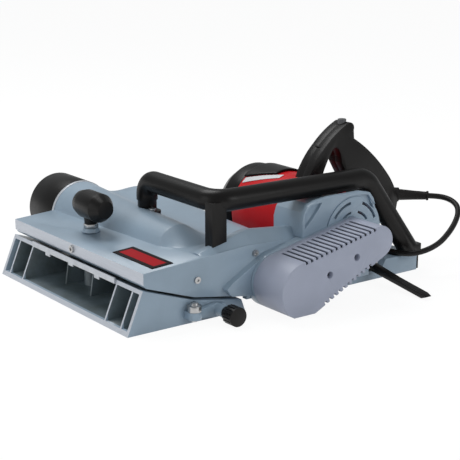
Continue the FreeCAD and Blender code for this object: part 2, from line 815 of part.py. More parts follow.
def build_belt_drive():
    """Back plate, slotted cover with its screws, pulleys and flat belt."""
    front = size("cover_front_radius")
    rear = size("cover_rear_radius")
    start = COVER_START
    end = COVER_END
    wall = size("cover_wall")
    low = size("cover_cut_height")
    near_hub = rod("X", (CUTTER_Y, CUTTER_Z), size("cutter_bearing_radius"), HALF_WIDTH - 9, start + 1)
    motor_hub = rod("X", (MOTOR_Y, MOTOR_Z), size("motor_shaft_radius") + 2, HALF_WIDTH - 9, start + 1)
    below = box((100, CUTTER_Y - 80, -60), (300, MOTOR_Y + 80, low))
    outer = cut(belt_shape(start, end, front, rear), below)
    floor = box((100, CUTTER_Y - 80, -60), (300, MOTOR_Y + 80, low + wall))
    inner = cut(belt_shape(start - 1, end - wall, front - wall, rear - wall), floor)
    run_y = MOTOR_Y - CUTTER_Y
    run_z = MOTOR_Z - CUTTER_Z
    reach = root(run_y * run_y + run_z * run_z)

    def slot_row(side, first, count):
        """Row of slots across one wall of the cover: side 1 is the upper wall and -1 the lower one."""
        sign = "+" if side > 0 else "-"
        lean = "(atan2(%s; %s) %s acos((%s) / %s))" % (run_z.text, run_y.text, sign, (front - rear).text,
                                                     reach.text)
        spread = math.acos((front.value - rear.value) / reach.value)
        angle = math.atan2(run_z.value, run_y.value) + side * spread
        normal_y = Term(math.cos(angle), "cos(%s)" % lean)
        normal_z = Term(math.sin(angle), "sin(%s)" % lean)
        row = []
        for step in range(count):
            along = (first + size("slot_pitch") * step) * side
            slot = DOC.addObject("Part::Box", "Slot")
            slot.setExpression("Length", size("slot_length").text)
            slot.setExpression("Width", size("slot_width").text)
            slot.setExpression("Height", "2 * (%s)" % size("slot_reach").text)
            tilt = math.degrees(angle) - side * 90
            slot.Placement.Rotation = FreeCAD.Rotation(FreeCAD.Vector(1, 0, 0), tilt)
            slot.setExpression("Placement.Rotation.Angle", "%s - %d deg" % (lean, side * 90))
            depth = front - side * size("slot_reach")
            place(slot, start + 9, CUTTER_Y + normal_y * depth + normal_z * along,
                  CUTTER_Z + normal_z * depth - normal_y * along)
            row.append(slot)
        return row

    slots = slot_row(1, 8.0, int(size("slot_count").value)) + slot_row(-1, 20.0, 11)
    posts = []
    holes = []
    screws = []
    for share in (0.32, 0.68):
        spot = (CUTTER_Y + run_y * share, CUTTER_Z + run_z * share)
        posts.append(rod("X", spot, 6.5, start, end - wall))
        holes.append(rod("X", spot, 2.25, start - 10, end))
        holes.append(rod("X", spot, 4.5, end - 12, end + 1))
        screw = fuse(rod("X", spot, 4.4, end - 12, end - 8), rod("X", spot, 2.2, start - 6, end - 12))
        screws.append(cut(screw, rod("X", spot, 1.6, end - 10, end)))
    keep("belt_cover", cut(outer, cut(inner, *posts), *(slots + holes)))
    keep("cover_screws", fuse(*screws))
    keep("belt_base", cut(belt_shape(HALF_WIDTH, start, front, rear), near_hub, motor_hub, below, *holes))
    belt_start = BELT_START
    belt_end = belt_start + size("belt_width")
    gap = size("belt_gap")
    thick = size("belt_thickness")
    big = size("cutter_pulley_radius")
    small = size("motor_pulley_radius")
    keep("drive_belt", cut(belt_shape(belt_start, belt_end, big + gap + thick, small + gap + thick),
                           belt_shape(belt_start - 1, belt_end + 1, big + gap, small + gap)))
    for name, spot, radius, bore in (
        ("cutter_pulley", (CUTTER_Y, CUTTER_Z), big, size("cutter_shaft_radius") - 2),
        ("motor_pulley", (MOTOR_Y, MOTOR_Z), small, size("motor_shaft_radius")),
    ):
        drum = rod("X", spot, radius, belt_start - 1, belt_end + 1)
        rim = rod("X", spot, radius + 1.6, belt_start - 3, belt_start - 1)
        keep(name, cut(fuse(drum, rim), rod("X", spot, bore, belt_start - 10, belt_end + 10)))


def build_cutter():
    """Cutter block with two knives, their wedges and clamp screws, on bearings at both ends."""
    half = size("block_half_length")
    radius = size("block_radius")
    tip = size("knife_circle")
    shaft = size("cutter_shaft_radius")
    bearing = size("bearing_width")
    far_end = -HALF_WIDTH
    spot = (CUTTER_Y, CUTTER_Z)
    knife = size("knife_thickness")
    wedge = size("wedge_thickness")
    barrel = rod("X", spot, radius, -half, half)
    far_shaft = rod("X", spot, shaft, far_end + 0.5, -half)
    near_shaft = rod("X", spot, shaft, half, BELT_START - 4)
    nose = rod("X", spot, shaft - 2, BELT_START - 4, BELT_START + size("belt_width") + 6)
    slots = []
    knives = []
    wedges = []
    screws = []
    for side in (-1, 1):
        inner_z = CUTTER_Z + side * (radius - 16)
        outer_z = CUTTER_Z + side * (radius + 2)
        tip_z = CUTTER_Z + side * root(tip * tip - knife * knife)
        low, high = (inner_z, outer_z) if side > 0 else (outer_z, inner_z)
        k_low, k_high = (inner_z, tip_z) if side > 0 else (tip_z, inner_z)
        k_near, k_far = (CUTTER_Y - knife, CUTTER_Y) if side > 0 else (CUTTER_Y, CUTTER_Y + knife)
        w_near, w_far = (CUTTER_Y, CUTTER_Y + wedge) if side > 0 else (CUTTER_Y - wedge, CUTTER_Y)
        slots.append(box((-half - 1, min((k_near, w_near), key=lambda t: t.value), low),
                         (half + 1, max((k_far, w_far), key=lambda t: t.value), high)))
        knives.append(box((-half, k_near, k_low), (half, k_far, k_high)))
        w_edge = CUTTER_Z + side * (radius - 3.5)
        w_low, w_high = (inner_z, w_edge) if side > 0 else (w_edge, inner_z)
        bar = box((-half + 2, w_near, w_low), (half - 2, w_far, w_high))
        middle = CUTTER_Z + side * (radius - 8.5)
        along = (w_near + w_far) / 2
        pockets = []
        for step in range(6):
            x = -half + half * 2 * (step + 0.5) / 6
            pockets.append(rod("Y", (x, middle), 3.5, w_near - 1, w_far + 1))
            screws.append(rod("Y", (x, middle), 3.5, w_near, w_far - 0.4 if side > 0 else w_far))
        wedges.append(cut(bar, *pockets))
    keep("cutter_block", cut(fuse(barrel, far_shaft, near_shaft, nose), *slots))
    keep("planer_knives", fuse(*knives))
    keep("knife_wedges", fuse(*wedges))
    keep("wedge_screws", fuse(*screws))
    bearings = []
    inner = shaft + size("running_gap")
    outer = size("cutter_bearing_radius")
    for start in (far_end + 0.5, HALF_WIDTH - bearing + 2):
        bearings.append(ring("X", spot, outer, inner, start, start + bearing - 0.5))
    keep("cutter_bearings", fuse(*bearings))


# ---------------------------------------------------------------- motor

def build_motor():
    """Red motor case, black end cap, silver fan shield and the works inside."""
    spot = (MOTOR_Y, MOTOR_Z)
    radius = size("motor_radius")
    wall = size("motor_wall")
    far = size("motor_far_end")
    near = MOTOR_NEAR_END
    end = size("cap_end")
    case = ring("X", spot, radius, radius - wall, far, near)
    keep("motor_case", case)
    cap_outer = fuse(rod("X", spot, radius, end + 20, far),
                     taper("X", spot, size("cap_end_radius"), radius, end, end + 20))
    cap_inner = fuse(rod("X", spot, radius - wall, end + 20, far + 1),
                     taper("X", spot, size("cap_end_radius") - wall, radius - wall, end + 5, end + 20))
    hub = rod("X", spot, 18, end + 4, end + 16)
    seat = rod("X", spot, size("motor_bearing_radius") - 3, end + 6, end + 17)
    vents = []
    for step in range(8):
        angle = 2 * math.pi * step / 8
        y = MOTOR_Y + 33 * math.cos(angle)
        z = MOTOR_Z + 33 * math.sin(angle)
        vents.append(rod("X", (y, z), 5, end - 1, end + 6))
    keep("motor_end_cap", cut(fuse(cut(cap_outer, cap_inner), hub), seat, *vents))

    shield = body("Shield")
    plate_start = SHIELD_PLATE_START
    plate_end = SHIELD_END
    low = size("sole_thickness")
    foot = [(MOTOR_Y + 58, 84), (MOTOR_Y + 52, 50), (MOTOR_Y + 38, 30), (MOTOR_Y + 38, low)]
    outline = [
        (MOTOR_Y - 81, low), (MOTOR_Y - 81, 104), (MOTOR_Y - 77, 117), (MOTOR_Y - 65, 127),
        (MOTOR_Y - 52, 128), (MOTOR_Y + 22, 128), (MOTOR_Y + 38, 124), (MOTOR_Y + 46, 110),
    ]
    face = [
        (MOTOR_Y - 81, low), (MOTOR_Y - 81, 106), (MOTOR_Y - 78, 118), (MOTOR_Y - 70, 127),
        (MOTOR_Y - 58, 131), (MOTOR_Y - 35, 133.5), (MOTOR_Y + 20, 133.5), (MOTOR_Y + 36, 130),
        (MOTOR_Y + 43, 121), (MOTOR_Y + 48, 108),
    ]
    pad(shield, "X", near, plate_start, lambda d: polygon(d, outline + foot))
    pad(shield, "X", plate_start, plate_end, lambda d: polygon(d, face + foot))
    ring_y = MOTOR_Y + 8
    room = rod("X", (ring_y - 4, MOTOR_Z), 56, near - 1, plate_start - 3)
    seat = fuse(rod("X", spot, size("motor_bearing_radius"), near + 20, plate_start - 6),
                rod("X", spot, size("motor_shaft_radius") + 2, near + 20, plate_end + 1))
    hub_outer = rod("X", spot, size("motor_bearing_radius") + 5, plate_start - 18, plate_start)
    corner_far = plate("Corner", "X", plate_end - 5, plate_end + 1, [
        (MOTOR_Y - 77, 96), (MOTOR_Y - 77, 114), (MOTOR_Y - 66, 126), (MOTOR_Y - 48, 128),
        (MOTOR_Y - 52, 122), (MOTOR_Y - 64, 108),
    ])
    corner_near = plate("Corner", "X", plate_end - 5, plate_end + 1, [
        (MOTOR_Y + 20, 129.5), (MOTOR_Y + 34, 127), (MOTOR_Y + 40, 117), (MOTOR_Y + 44, 106),
        (MOTOR_Y + 34, 114),
    ])
    slots = []
    for inside, outside, first, sweep in ((38, 42, 20, 48), (38, 42, 98, 48), (25, 28.5, 30, 45),
                                          (25, 28.5, 100, 40)):
        slots.append(arc_slot(plate_start - 4, plate_end + 1, ring_y, MOTOR_Z, inside, outside, first, sweep))
    groove = cut(rod("X", (ring_y, MOTOR_Z), 50, plate_end - 2, plate_end + 1),
                 rod("X", (ring_y, MOTOR_Z), 47.5, plate_end - 3, plate_end + 2))
    belt_room = belt_shape(HALF_WIDTH, HALF_WIDTH + 34, size("cover_front_radius") + 0.3,
                           size("cover_rear_radius") + 0.3)
    housing_room = box((0, -300, 0), (HALF_WIDTH + 30, HOUSING_END, 100))
    solid = cut(shield, room, corner_far, corner_near, groove, belt_room, housing_room, *slots)
    keep("motor_shield", cut(fuse(solid, hub_outer), seat, belt_room))

    shaft = size("motor_shaft_radius")
    start = size("stator_start")
    stop = size("stator_end")
    bore = size("stator_bore")
    keep("stator", ring("X", spot, radius - wall, bore, start, stop))
    core = bore - size("air_gap")
    keep("armature_core", ring("X", spot, core, shaft, start, stop))
    belt_end = BELT_START + size("belt_width")
    keep("motor_shaft", rod("X", spot, shaft, end + 8, belt_end + 4))
    length = size("commutator_length")
    keep("commutator", ring("X", spot, size("commutator_radius"), shaft, start - 4 - length, start - 4))
    disc = ring("X", spot, size("fan_radius"), 16, stop + 22, stop + 24)
    blades = [rod("X", spot, 16, stop + 10, stop + 24), disc]
    for step in range(12):
        blade = DOC.addObject("Part::Box", "Blade")
        blade.Length = 13
        blade.setExpression("Width", (size("fan_radius") - 14).text)
        blade.Height = 2
        turn = FreeCAD.Rotation(FreeCAD.Vector(1, 0, 0), 30 * step)
        blade.Placement.Rotation = turn
        angle = math.radians(30 * step)
        place(blade, stop + 10, MOTOR_Y + 14 * math.cos(angle), MOTOR_Z + 14 * math.sin(angle))
        blades.append(blade)
    keep("cooling_fan", cut(fuse(*blades), rod("X", spot, shaft, stop, stop + 40)))
    inner = shaft + size("running_gap")
    far_bearing = ring("X", spot, size("motor_bearing_radius") - 3, inner, end + 6.5, end + 15)
    near_bearing = ring("X", spot, size("motor_bearing_radius"), inner, plate_start - 17, plate_start - 6)
    keep("motor_bearings", fuse(far_bearing, near_bearing))
    brushes = []
    holders = []
    middle = start - 4 - length / 2
    face = size("commutator_radius") + 0.3
    for side in (-1, 1):
        near_y, far_y = (MOTOR_Y + face, MOTOR_Y + 34) if side > 0 else (MOTOR_Y - 34, MOTOR_Y - face)
        hold_near, hold_far = ((MOTOR_Y + 24, MOTOR_Y + radius - wall) if side > 0
                               else (MOTOR_Y - radius + wall, MOTOR_Y - 24))
        brushes.append(box((middle - 4, near_y, MOTOR_Z - 6), (middle + 4, far_y, MOTOR_Z + 6)))
        slide = box((middle - 4, near_y, MOTOR_Z - 6), (middle + 4, far_y, MOTOR_Z + 6))
        holder = box((middle - 7, hold_near, MOTOR_Z - 9), (middle + 7, hold_far, MOTOR_Z + 9))
        drum = rod("X", spot, radius - wall, middle - 20, middle + 20)
        holders.append(common(cut(holder, slide), drum))
    keep("carbon_brushes", fuse(*brushes))
    keep("brush_holders", fuse(*holders))


def arc_slot(start, end, y, z, inner, outer, first, sweep):
    """Curved slot tool along X, between two radii and over an angle."""
    whole = DOC.addObject("Part::Cylinder", "SlotOuter")
    whole.Placement.Rotation = AXIS_TURN["X"]
    whole.Radius = outer
    whole.setExpression("Height", (term(end) - term(start)).text)
    place(whole, start, y, z)
    hollow = rod("X", (y, z), inner, term(start) - 1, term(end) + 1)
    fan = [(y, z)]
    reach = outer * 1.6
    for share in (0.0, 0.5, 1.0):
        angle = math.radians(first + sweep * share)
        fan.append((y + reach * math.cos(angle), z + reach * math.sin(angle)))
    wedge = plate("SlotWedge", "X", term(start) - 1, term(end) + 1, fan)
    return common(cut(whole, hollow), wedge)


# ---------------------------------------------------------------- handles

def build_hoop_handle():
    """Moulded hoop: grip across the deck, side rail, slanting rear leg and its three feet."""
    radius = size("hoop_radius").value
    top = size("hoop_height").value
    grip_y = back(size("grip_back")).value
    far_x = size("grip_far_x").value
    rail_x = RAIL_X.value
    foot_z = size("hoop_foot_height").value
    bend_y = back(size("rail_end_back")).value
    leg_x = REAR_LEG_X.value
    leg_y = back(size("rear_leg_back")).value
    block_z = size("block_height").value
    points = [
        FreeCAD.Vector(far_x, grip_y, foot_z + 14),
        FreeCAD.Vector(far_x, grip_y, top),
        FreeCAD.Vector(rail_x, grip_y, top),
        FreeCAD.Vector(rail_x, bend_y, top - 2),
        FreeCAD.Vector(leg_x, leg_y, block_z + 3),
    ]
    bar = tube_along(points, [20.0, 24.0, 26.0], radius)[0]
    leg = Part.makeCylinder(radius - 1.5, 20, FreeCAD.Vector(far_x, grip_y, foot_z - 2))
    flange = Part.makeCylinder(12.5, 5, FreeCAD.Vector(far_x + 17, grip_y - 4, foot_z - 3))
    web = Part.makeBox(17, 25, 5, FreeCAD.Vector(far_x, grip_y - 16.5, foot_z - 3))
    near_leg = Part.makeBox(16, 22, top - 84, FreeCAD.Vector(rail_x - 8, grip_y - 11, 84))
    foot = Part.makeBox(28, 26, 12, FreeCAD.Vector(leg_x - 14, leg_y - 11, block_z))
    foot = foot.makeFillet(7, [e for e in foot.Edges if e.BoundBox.ZLength > 11])
    solid = bar.multiFuse([leg, flange, web, near_leg, foot]).removeSplitter()
    housing = PARTS["main_housing"].Shape
    screw_spot = FreeCAD.Vector(far_x + 19, grip_y - 4, 80)
    screw_bore = Part.makeCylinder(3, 60, screw_spot)
    keep("hoop_handle", shape(solid.cut(housing).cut(PARTS["rear_sole"].Shape).cut(screw_bore)))


def build_hoop_screws():
    """Screws that hold the hoop handle's front foot and rear foot."""
    x = size("grip_far_x") + 19
    y = back(size("grip_back")) - 4
    base = size("hoop_foot_height") + 2
    front = fuse(rod("Z", (x, y), 5.2, base, base + 3.5), rod("Z", (x, y), 3, base - 12, base + 1))
    keep("hoop_screws", cut(front, rod("Z", (x, y), 2.2, base + 1.5, base + 6)))


HANDLE_OUTLINE = [
    ((320, 118), None),
    ((332, 137), None),
    ((364, 183), (346, 163)),
    ((404, 211), (383, 199)),
    ((414, 200), (413, 208)),
    ((415, 188), None),
    ((478, 133), (450, 162)),
    ((503, 88), (493, 112)),
    ((500, 72), None),
    ((470, 62), None),
    ((430, 58), None),
    ((410, 60), None),
    ((404, 90), None),
    ((380, 118), None),
    ((352, 130), None),
]
FINGER_GAP = [
    ((357, 138), None),
    ((376, 176), (365, 158)),
    ((386, 177), (381, 179)),
    ((393, 156), (391, 168)),
    ((405, 136), None),
    ((402, 128), (406, 131)),
]


def curve_face(x, points, across):
    """Face across X from outline points; a point with a second pair is reached by an arc through it."""
    def spot(pair):
        return FreeCAD.Vector(x, across(pair[0]), pair[1])
    edges = []
    last = spot(points[-1][0])
    for end, through in points:
        after = spot(end)
        if through is None:
            edges.append(Part.LineSegment(last, after).toShape())
        else:
            edges.append(Part.Arc(last, spot(through), after).toShape())
        last = after
    return Part.Face(Part.Wire(edges))


def build_switch_handle():
    """Rear handle in two shells, with its switch, trigger, lock button and cable gland."""
    middle = size("switch_handle_x").value
    half = size("switch_handle_width").value / 2
    move = FRONT_END.value

    def across(distance):
        return distance + move

    motor = Part.makeCylinder(size("motor_radius").value, 400,
                              FreeCAD.Vector(-100, MOTOR_Y.value, MOTOR_Z.value), FreeCAD.Vector(1, 0, 0))
    outer = curve_face(middle - half, HANDLE_OUTLINE, across).extrude(FreeCAD.Vector(2 * half, 0, 0))
    gap = curve_face(middle - half - 1, FINGER_GAP, across).extrude(FreeCAD.Vector(2 * half + 2, 0, 0))
    gland_start = CORD_POINTS[0] - CORD_HEADING * 53
    collar = Part.makeCylinder(10.5, 10, gland_start, CORD_HEADING)
    sleeve_start = gland_start + CORD_HEADING * 9
    sleeve_length = (CORD_POINTS[0] - sleeve_start).Length
    sleeve = Part.makeCone(7.5, 6, sleeve_length, sleeve_start, CORD_HEADING)
    gland = collar.fuse(sleeve)
    switch_place = FreeCAD.Vector(middle - 8, across(446), 94)
    switch = Part.makeBox(16, 20, 28, switch_place)
    trigger_turn = FreeCAD.Placement(FreeCAD.Vector(middle, across(366), 158),
                                     FreeCAD.Rotation(FreeCAD.Vector(1, 0, 0), TRIGGER_LEAN))
    trigger = Part.makeBox(9.4, 17, 34, FreeCAD.Vector(-4.7, -8, -17))
    trigger = trigger.makeFillet(2.5, [e for e in trigger.Edges if e.BoundBox.YMin > 8.9])
    trigger_way = Part.makeBox(10, 36, 34.6, FreeCAD.Vector(-5, -15, -17.3))
    trigger.Placement = trigger_turn
    trigger_way.Placement = trigger_turn
    button_spot = FreeCAD.Vector(middle, across(404), 197)
    button = Part.makeCylinder(6, 18, button_spot)
    button_way = Part.makeCylinder(6.05, 40, button_spot - FreeCAD.Vector(0, 0, 5))
    foot_screws = [Part.makeCylinder(2.2, 24, FreeCAD.Vector(middle + half - 24, across(y), z),
                                     FreeCAD.Vector(1, 0, 0)) for y, z in HANDLE_SCREWS]
    heads = [Part.makeCylinder(4, 3, FreeCAD.Vector(middle + half - 3, across(y), z),
                               FreeCAD.Vector(1, 0, 0)) for y, z in HANDLE_SCREWS]
    solid = outer.cut(gap).cut(motor)
    for tool in [gland, switch, trigger_way, button_way] + foot_screws + heads:
        solid = solid.cut(tool)
    for name, start in (("switch_handle_far", middle - half), ("switch_handle_near", middle)):
        side = Part.makeBox(half, 260, 260, FreeCAD.Vector(start, across(300), 20))
        keep(name, shape(solid.common(side)))
    keep("switch_block", shape(switch))
    keep("switch_trigger", shape(trigger))
    keep("lock_button", shape(button))
    keep("cable_gland", shape(gland))
    screws = [head.fuse(screw) for head, screw in zip(heads, foot_screws)]
    keep("handle_screws", shape(Part.makeCompound(screws)))


def build_rest_lever():
    """Flat black lever of the parking rest, hinged on a bracket at the edge of the rear sole."""
    y = back(size("rest_back"))
    z = size("rest_height")
    bracket_low = size("sole_thickness")
    pin = rod("Y", (HALF_WIDTH - 8, z), 3, y - 12, y + 12)
    ears = [box((HALF_WIDTH - 16, y + low, bracket_low), (HALF_WIDTH - 1, y + high, z + 5))
            for low, high in ((-12, -7), (7, 12))]
    hole = rod("Y", (HALF_WIDTH - 8, z), 3, y - 20, y + 20)
    keep("rest_bracket", cut(fuse(*ears), hole))
    keep("rest_pin", pin)
    lever = plate("Lever", "Y", y - 6, y + 6, [
        (HALF_WIDTH - 12.5, z - 3.5), (HALF_WIDTH - 12.5, z + 5), (HALF_WIDTH + 6, z + 5),
        (HALF_WIDTH + 52, z - 4), (HALF_WIDTH + 104, z - 12), (HALF_WIDTH + 111, z - 15.5),
        (HALF_WIDTH + 103, z - 18.5), (HALF_WIDTH + 50, z - 11), (HALF_WIDTH + 4, z - 4),
    ])
    lever_hole = rod("Y", (HALF_WIDTH - 8, z), 3 + size("running_gap"), y - 20, y + 20)
    keep("rest_lever", cut(lever, lever_hole))


# ---------------------------------------------------------------- mains cord

TRIGGER_LEAN = -26.57
HANDLE_SCREWS = ((342, 146), (424, 76), (478, 84))
CORD_ROUTE = [
    (124.8, 180.2, 91.6), (134.1, 191.3, 91.2), (147.2, 197.4, 89.6), (161.3, 197.6, 86),
    (174.3, 191.6, 80.6), (186.8, 177.4, 72), (197.5, 153, 58), (202, 122, 42), (186, 92, 31),
    (148, 79, 30), (108, 82, 30), (66, 92, 30), (34, 112, 32), (12, 140, 22), (-20, 157, 6.5),
    (-62, 158, 4), (-110, 158, 4),
]
CORD_POINTS = [FreeCAD.Vector(*point) for point in CORD_ROUTE]
CORD_HEADING = (CORD_POINTS[1] - CORD_POINTS[0]).normalize()
COIL_MIDDLE = (-110.0, 216.0)
PLUG_RADIUS = 18.5


def build_cord():
    """Free mains cord: the loose run from the gland, the coil behind the machine and the plug."""
    points = CORD_POINTS
    radius = size("cord_diameter").value / 2
    runs = [(b - a).Length for a, b in zip(points, points[1:])]
    radii = []
    for n in range(1, len(points) - 1):
        turn = (points[n] - points[n - 1]).getAngle(points[n + 1] - points[n])
        radii.append(0.45 * min(runs[n - 1], runs[n]) / math.tan(turn / 2))
    print("cord arc radii", [round(r) for r in radii])
    tube, path = tube_along(points, radii, radius)
    expected = math.pi * radius * radius * path.Length
    print("cord tube length %.0f, volume share %.4f" % (path.Length, tube.Volume / expected))
    keep("power_cord", shape(tube))
    middle = size("coil_diameter").value / 2
    band = 2 * size("cord_diameter").value
    x, y = COIL_MIDDLE
    outer = Part.makeCylinder(middle + band, 1.5 * band, FreeCAD.Vector(x, y, 0))
    inner = Part.makeCylinder(middle - band, 1.5 * band + 2, FreeCAD.Vector(x, y, -1))
    coil = outer.cut(inner)
    coil = coil.makeFillet(radius - 0.5, coil.Edges)
    keep("cord_coil", shape(coil))
    top = 1.5 * band
    heading = FreeCAD.Vector(-1, 0, 0)
    body_start = FreeCAD.Vector(x + 14, y - middle, top + PLUG_RADIUS)
    grip = Part.makeCone(12, PLUG_RADIUS, 26, body_start, heading)
    face = Part.makeCylinder(PLUG_RADIUS, 14, body_start + heading * 26, heading)
    boot = Part.makeCone(5.5, 8, 22, body_start - heading * 21, heading)
    pins = [Part.makeCylinder(2.4, 20, body_start + FreeCAD.Vector(-39, side * 9.5, 0), heading)
            for side in (-1, 1)]
    keep("mains_plug", shape(grip.multiFuse([face, boot] + pins).removeSplitter()))


def build_all():
    """Builds every sub-part."""
    build_front_shoe()
    build_fence_clamp()
    finish_housing()
    build_housing_fittings()
    build_depth_knob()
    build_outlet()
    build_rear_sole()
    build_belt_drive()
    build_cutter()
    build_motor()
    DOC.recompute()
    build_hoop_handle()
    build_hoop_screws()
    build_switch_handle()
    build_rest_lever()
    build_cord()
    DOC.recompute()


def check_and_write():
    """Stops on a failed object or a bad shape, then writes one STEP file per sub-part."""
    bad = [thing.Label for thing in DOC.Objects if {"Invalid", "Error"} & set(thing.State)]
    if bad:
        raise RuntimeError("failed objects: %s" % bad)
    for name, thing in PARTS.items():
        if thing.Shape.isNull() or not thing.Shape.isValid() or not thing.Shape.Solids:
            raise RuntimeError("bad shape: %s" % name)
    os.makedirs("parts", exist_ok=True)
    for name, thing in PARTS.items():
        thing.Shape.exportStep("parts/%s.step" % name)
        print("%-20s %2d solids  %10.0f mm3" % (name, len(thing.Shape.Solids), thing.Shape.Volume))
    print(len(PARTS), "sub-parts")


build_all()
check_and_write()
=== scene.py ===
"""Looks of a hand-guided thickness planer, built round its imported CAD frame.

Lengths are in metres, in the frame of the CAD part: the origin is the middle of the rear sole,
+X points to the belt side, +Y to the rear and +Z up.
"""
import logging
import math
from dataclasses import dataclass, field
from enum import Enum
from typing import Callable, Iterable, Optional, Union

import bpy
from mathutils import Matrix, Vector


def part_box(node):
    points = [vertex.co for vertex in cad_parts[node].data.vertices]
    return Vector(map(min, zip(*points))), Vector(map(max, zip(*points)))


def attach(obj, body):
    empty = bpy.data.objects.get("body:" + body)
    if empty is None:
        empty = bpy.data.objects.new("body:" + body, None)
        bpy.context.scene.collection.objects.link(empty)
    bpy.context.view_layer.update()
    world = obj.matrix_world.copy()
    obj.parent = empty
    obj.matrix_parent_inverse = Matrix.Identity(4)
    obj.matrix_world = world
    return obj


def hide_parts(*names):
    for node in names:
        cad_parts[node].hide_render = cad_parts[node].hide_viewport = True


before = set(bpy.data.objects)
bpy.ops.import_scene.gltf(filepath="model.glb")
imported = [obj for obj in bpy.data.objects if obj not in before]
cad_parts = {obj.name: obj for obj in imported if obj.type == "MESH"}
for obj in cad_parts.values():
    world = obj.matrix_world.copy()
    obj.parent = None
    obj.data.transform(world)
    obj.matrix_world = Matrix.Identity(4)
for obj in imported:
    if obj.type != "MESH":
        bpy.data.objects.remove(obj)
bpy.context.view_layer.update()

LOG = logging.getLogger("planer")
MM = 0.001
BEVEL_SEGMENTS = 2
SMOOTH_BELOW_DEGREES = 38
FLAT_WITHIN_DEGREES = 0.8
WELD_DISTANCE = 0.00002
Colour = tuple[float, float, float]


class Axis(Enum):
    """Direction that a lay follows, or that a face looks."""

    X = 0
    Y = 1
    Z = 2


class Body(Enum):
    """Moving bodies of the planer."""

    MACHINE = "machine"
    SHOE = "front_shoe"
    KNOB = "depth_knob"
    CUTTER = "cutter"
    ARMATURE = "armature"
    TRIGGER = "trigger"
    LOCK = "lock_button"
    NOZZLE = "nozzle"
    SIDE_KNOB = "side_knob"
    REST = "rest"


def screen(red: int, green: int, blue: int) -> Colour:
    """Linear colour of a paint chip read on an ordinary screen.

    Args:
        red: Red part, 0 to 255.
        green: Green part, 0 to 255.
        blue: Blue part, 0 to 255.

    Returns:
        The same colour in linear light.
    """
    toe_end, toe_slope = 0.04045, 12.92
    lift, span, power = 0.055, 1.055, 2.4
    parts = []
    for part in (red, green, blue):
        share = part / 255
        parts.append(share / toe_slope if share < toe_end else ((share + lift) / span) ** power)
    return (parts[0], parts[1], parts[2])


# ---------------------------------------------------------------- shader kit

class Value:
    """A number that varies over a surface, with the operators that the finishes use."""

    def __init__(self, shader: "Shader", socket: bpy.types.NodeSocket) -> None:
        """Wraps a socket of a shader."""
        self.shader = shader
        self.socket = socket

    def _math(self, operation: str, first: "Number", second: "Number" = 0.0) -> "Value":
        """Adds one Math node on two numbers."""
        node = self.shader.node("ShaderNodeMath", {"operation": operation}, {0: first, 1: second})
        return Value(self.shader, node.outputs[0])

    def __add__(self, other: "Number") -> "Value":
        """Sum."""
        return self._math("ADD", self, other)

    __radd__ = __add__

    def __mul__(self, other: "Number") -> "Value":
        """Product."""
        return self._math("MULTIPLY", self, other)

    __rmul__ = __mul__

    def __sub__(self, other: "Number") -> "Value":
        """Difference."""
        return self._math("SUBTRACT", self, other)

    def __rsub__(self, other: "Number") -> "Value":
        """Difference, the other way round."""
        return self._math("SUBTRACT", other, self)

    def __gt__(self, other: "Number") -> "Value":
        """1 where this is the larger."""
        return self._math("GREATER_THAN", self, other)

    def __lt__(self, other: "Number") -> "Value":
        """1 where this is the smaller."""
        return self._math("LESS_THAN", self, other)

    def wave(self) -> "Value":
        """Sine."""
        return self._math("SINE", self)

    def spread(self, low: float, high: float) -> "Value":
        """Smooth step.

        Args:
            low: Number under which the step is 0.
            high: Number over which it is 1.

        Returns:
            The step.
        """
        node = self.shader.node("ShaderNodeMapRange", {"interpolation_type": "SMOOTHSTEP"},
                                {"Value": self, "From Min": low, "From Max": high})
        return Value(self.shader, node.outputs["Result"])


Number = Union[Value, float]


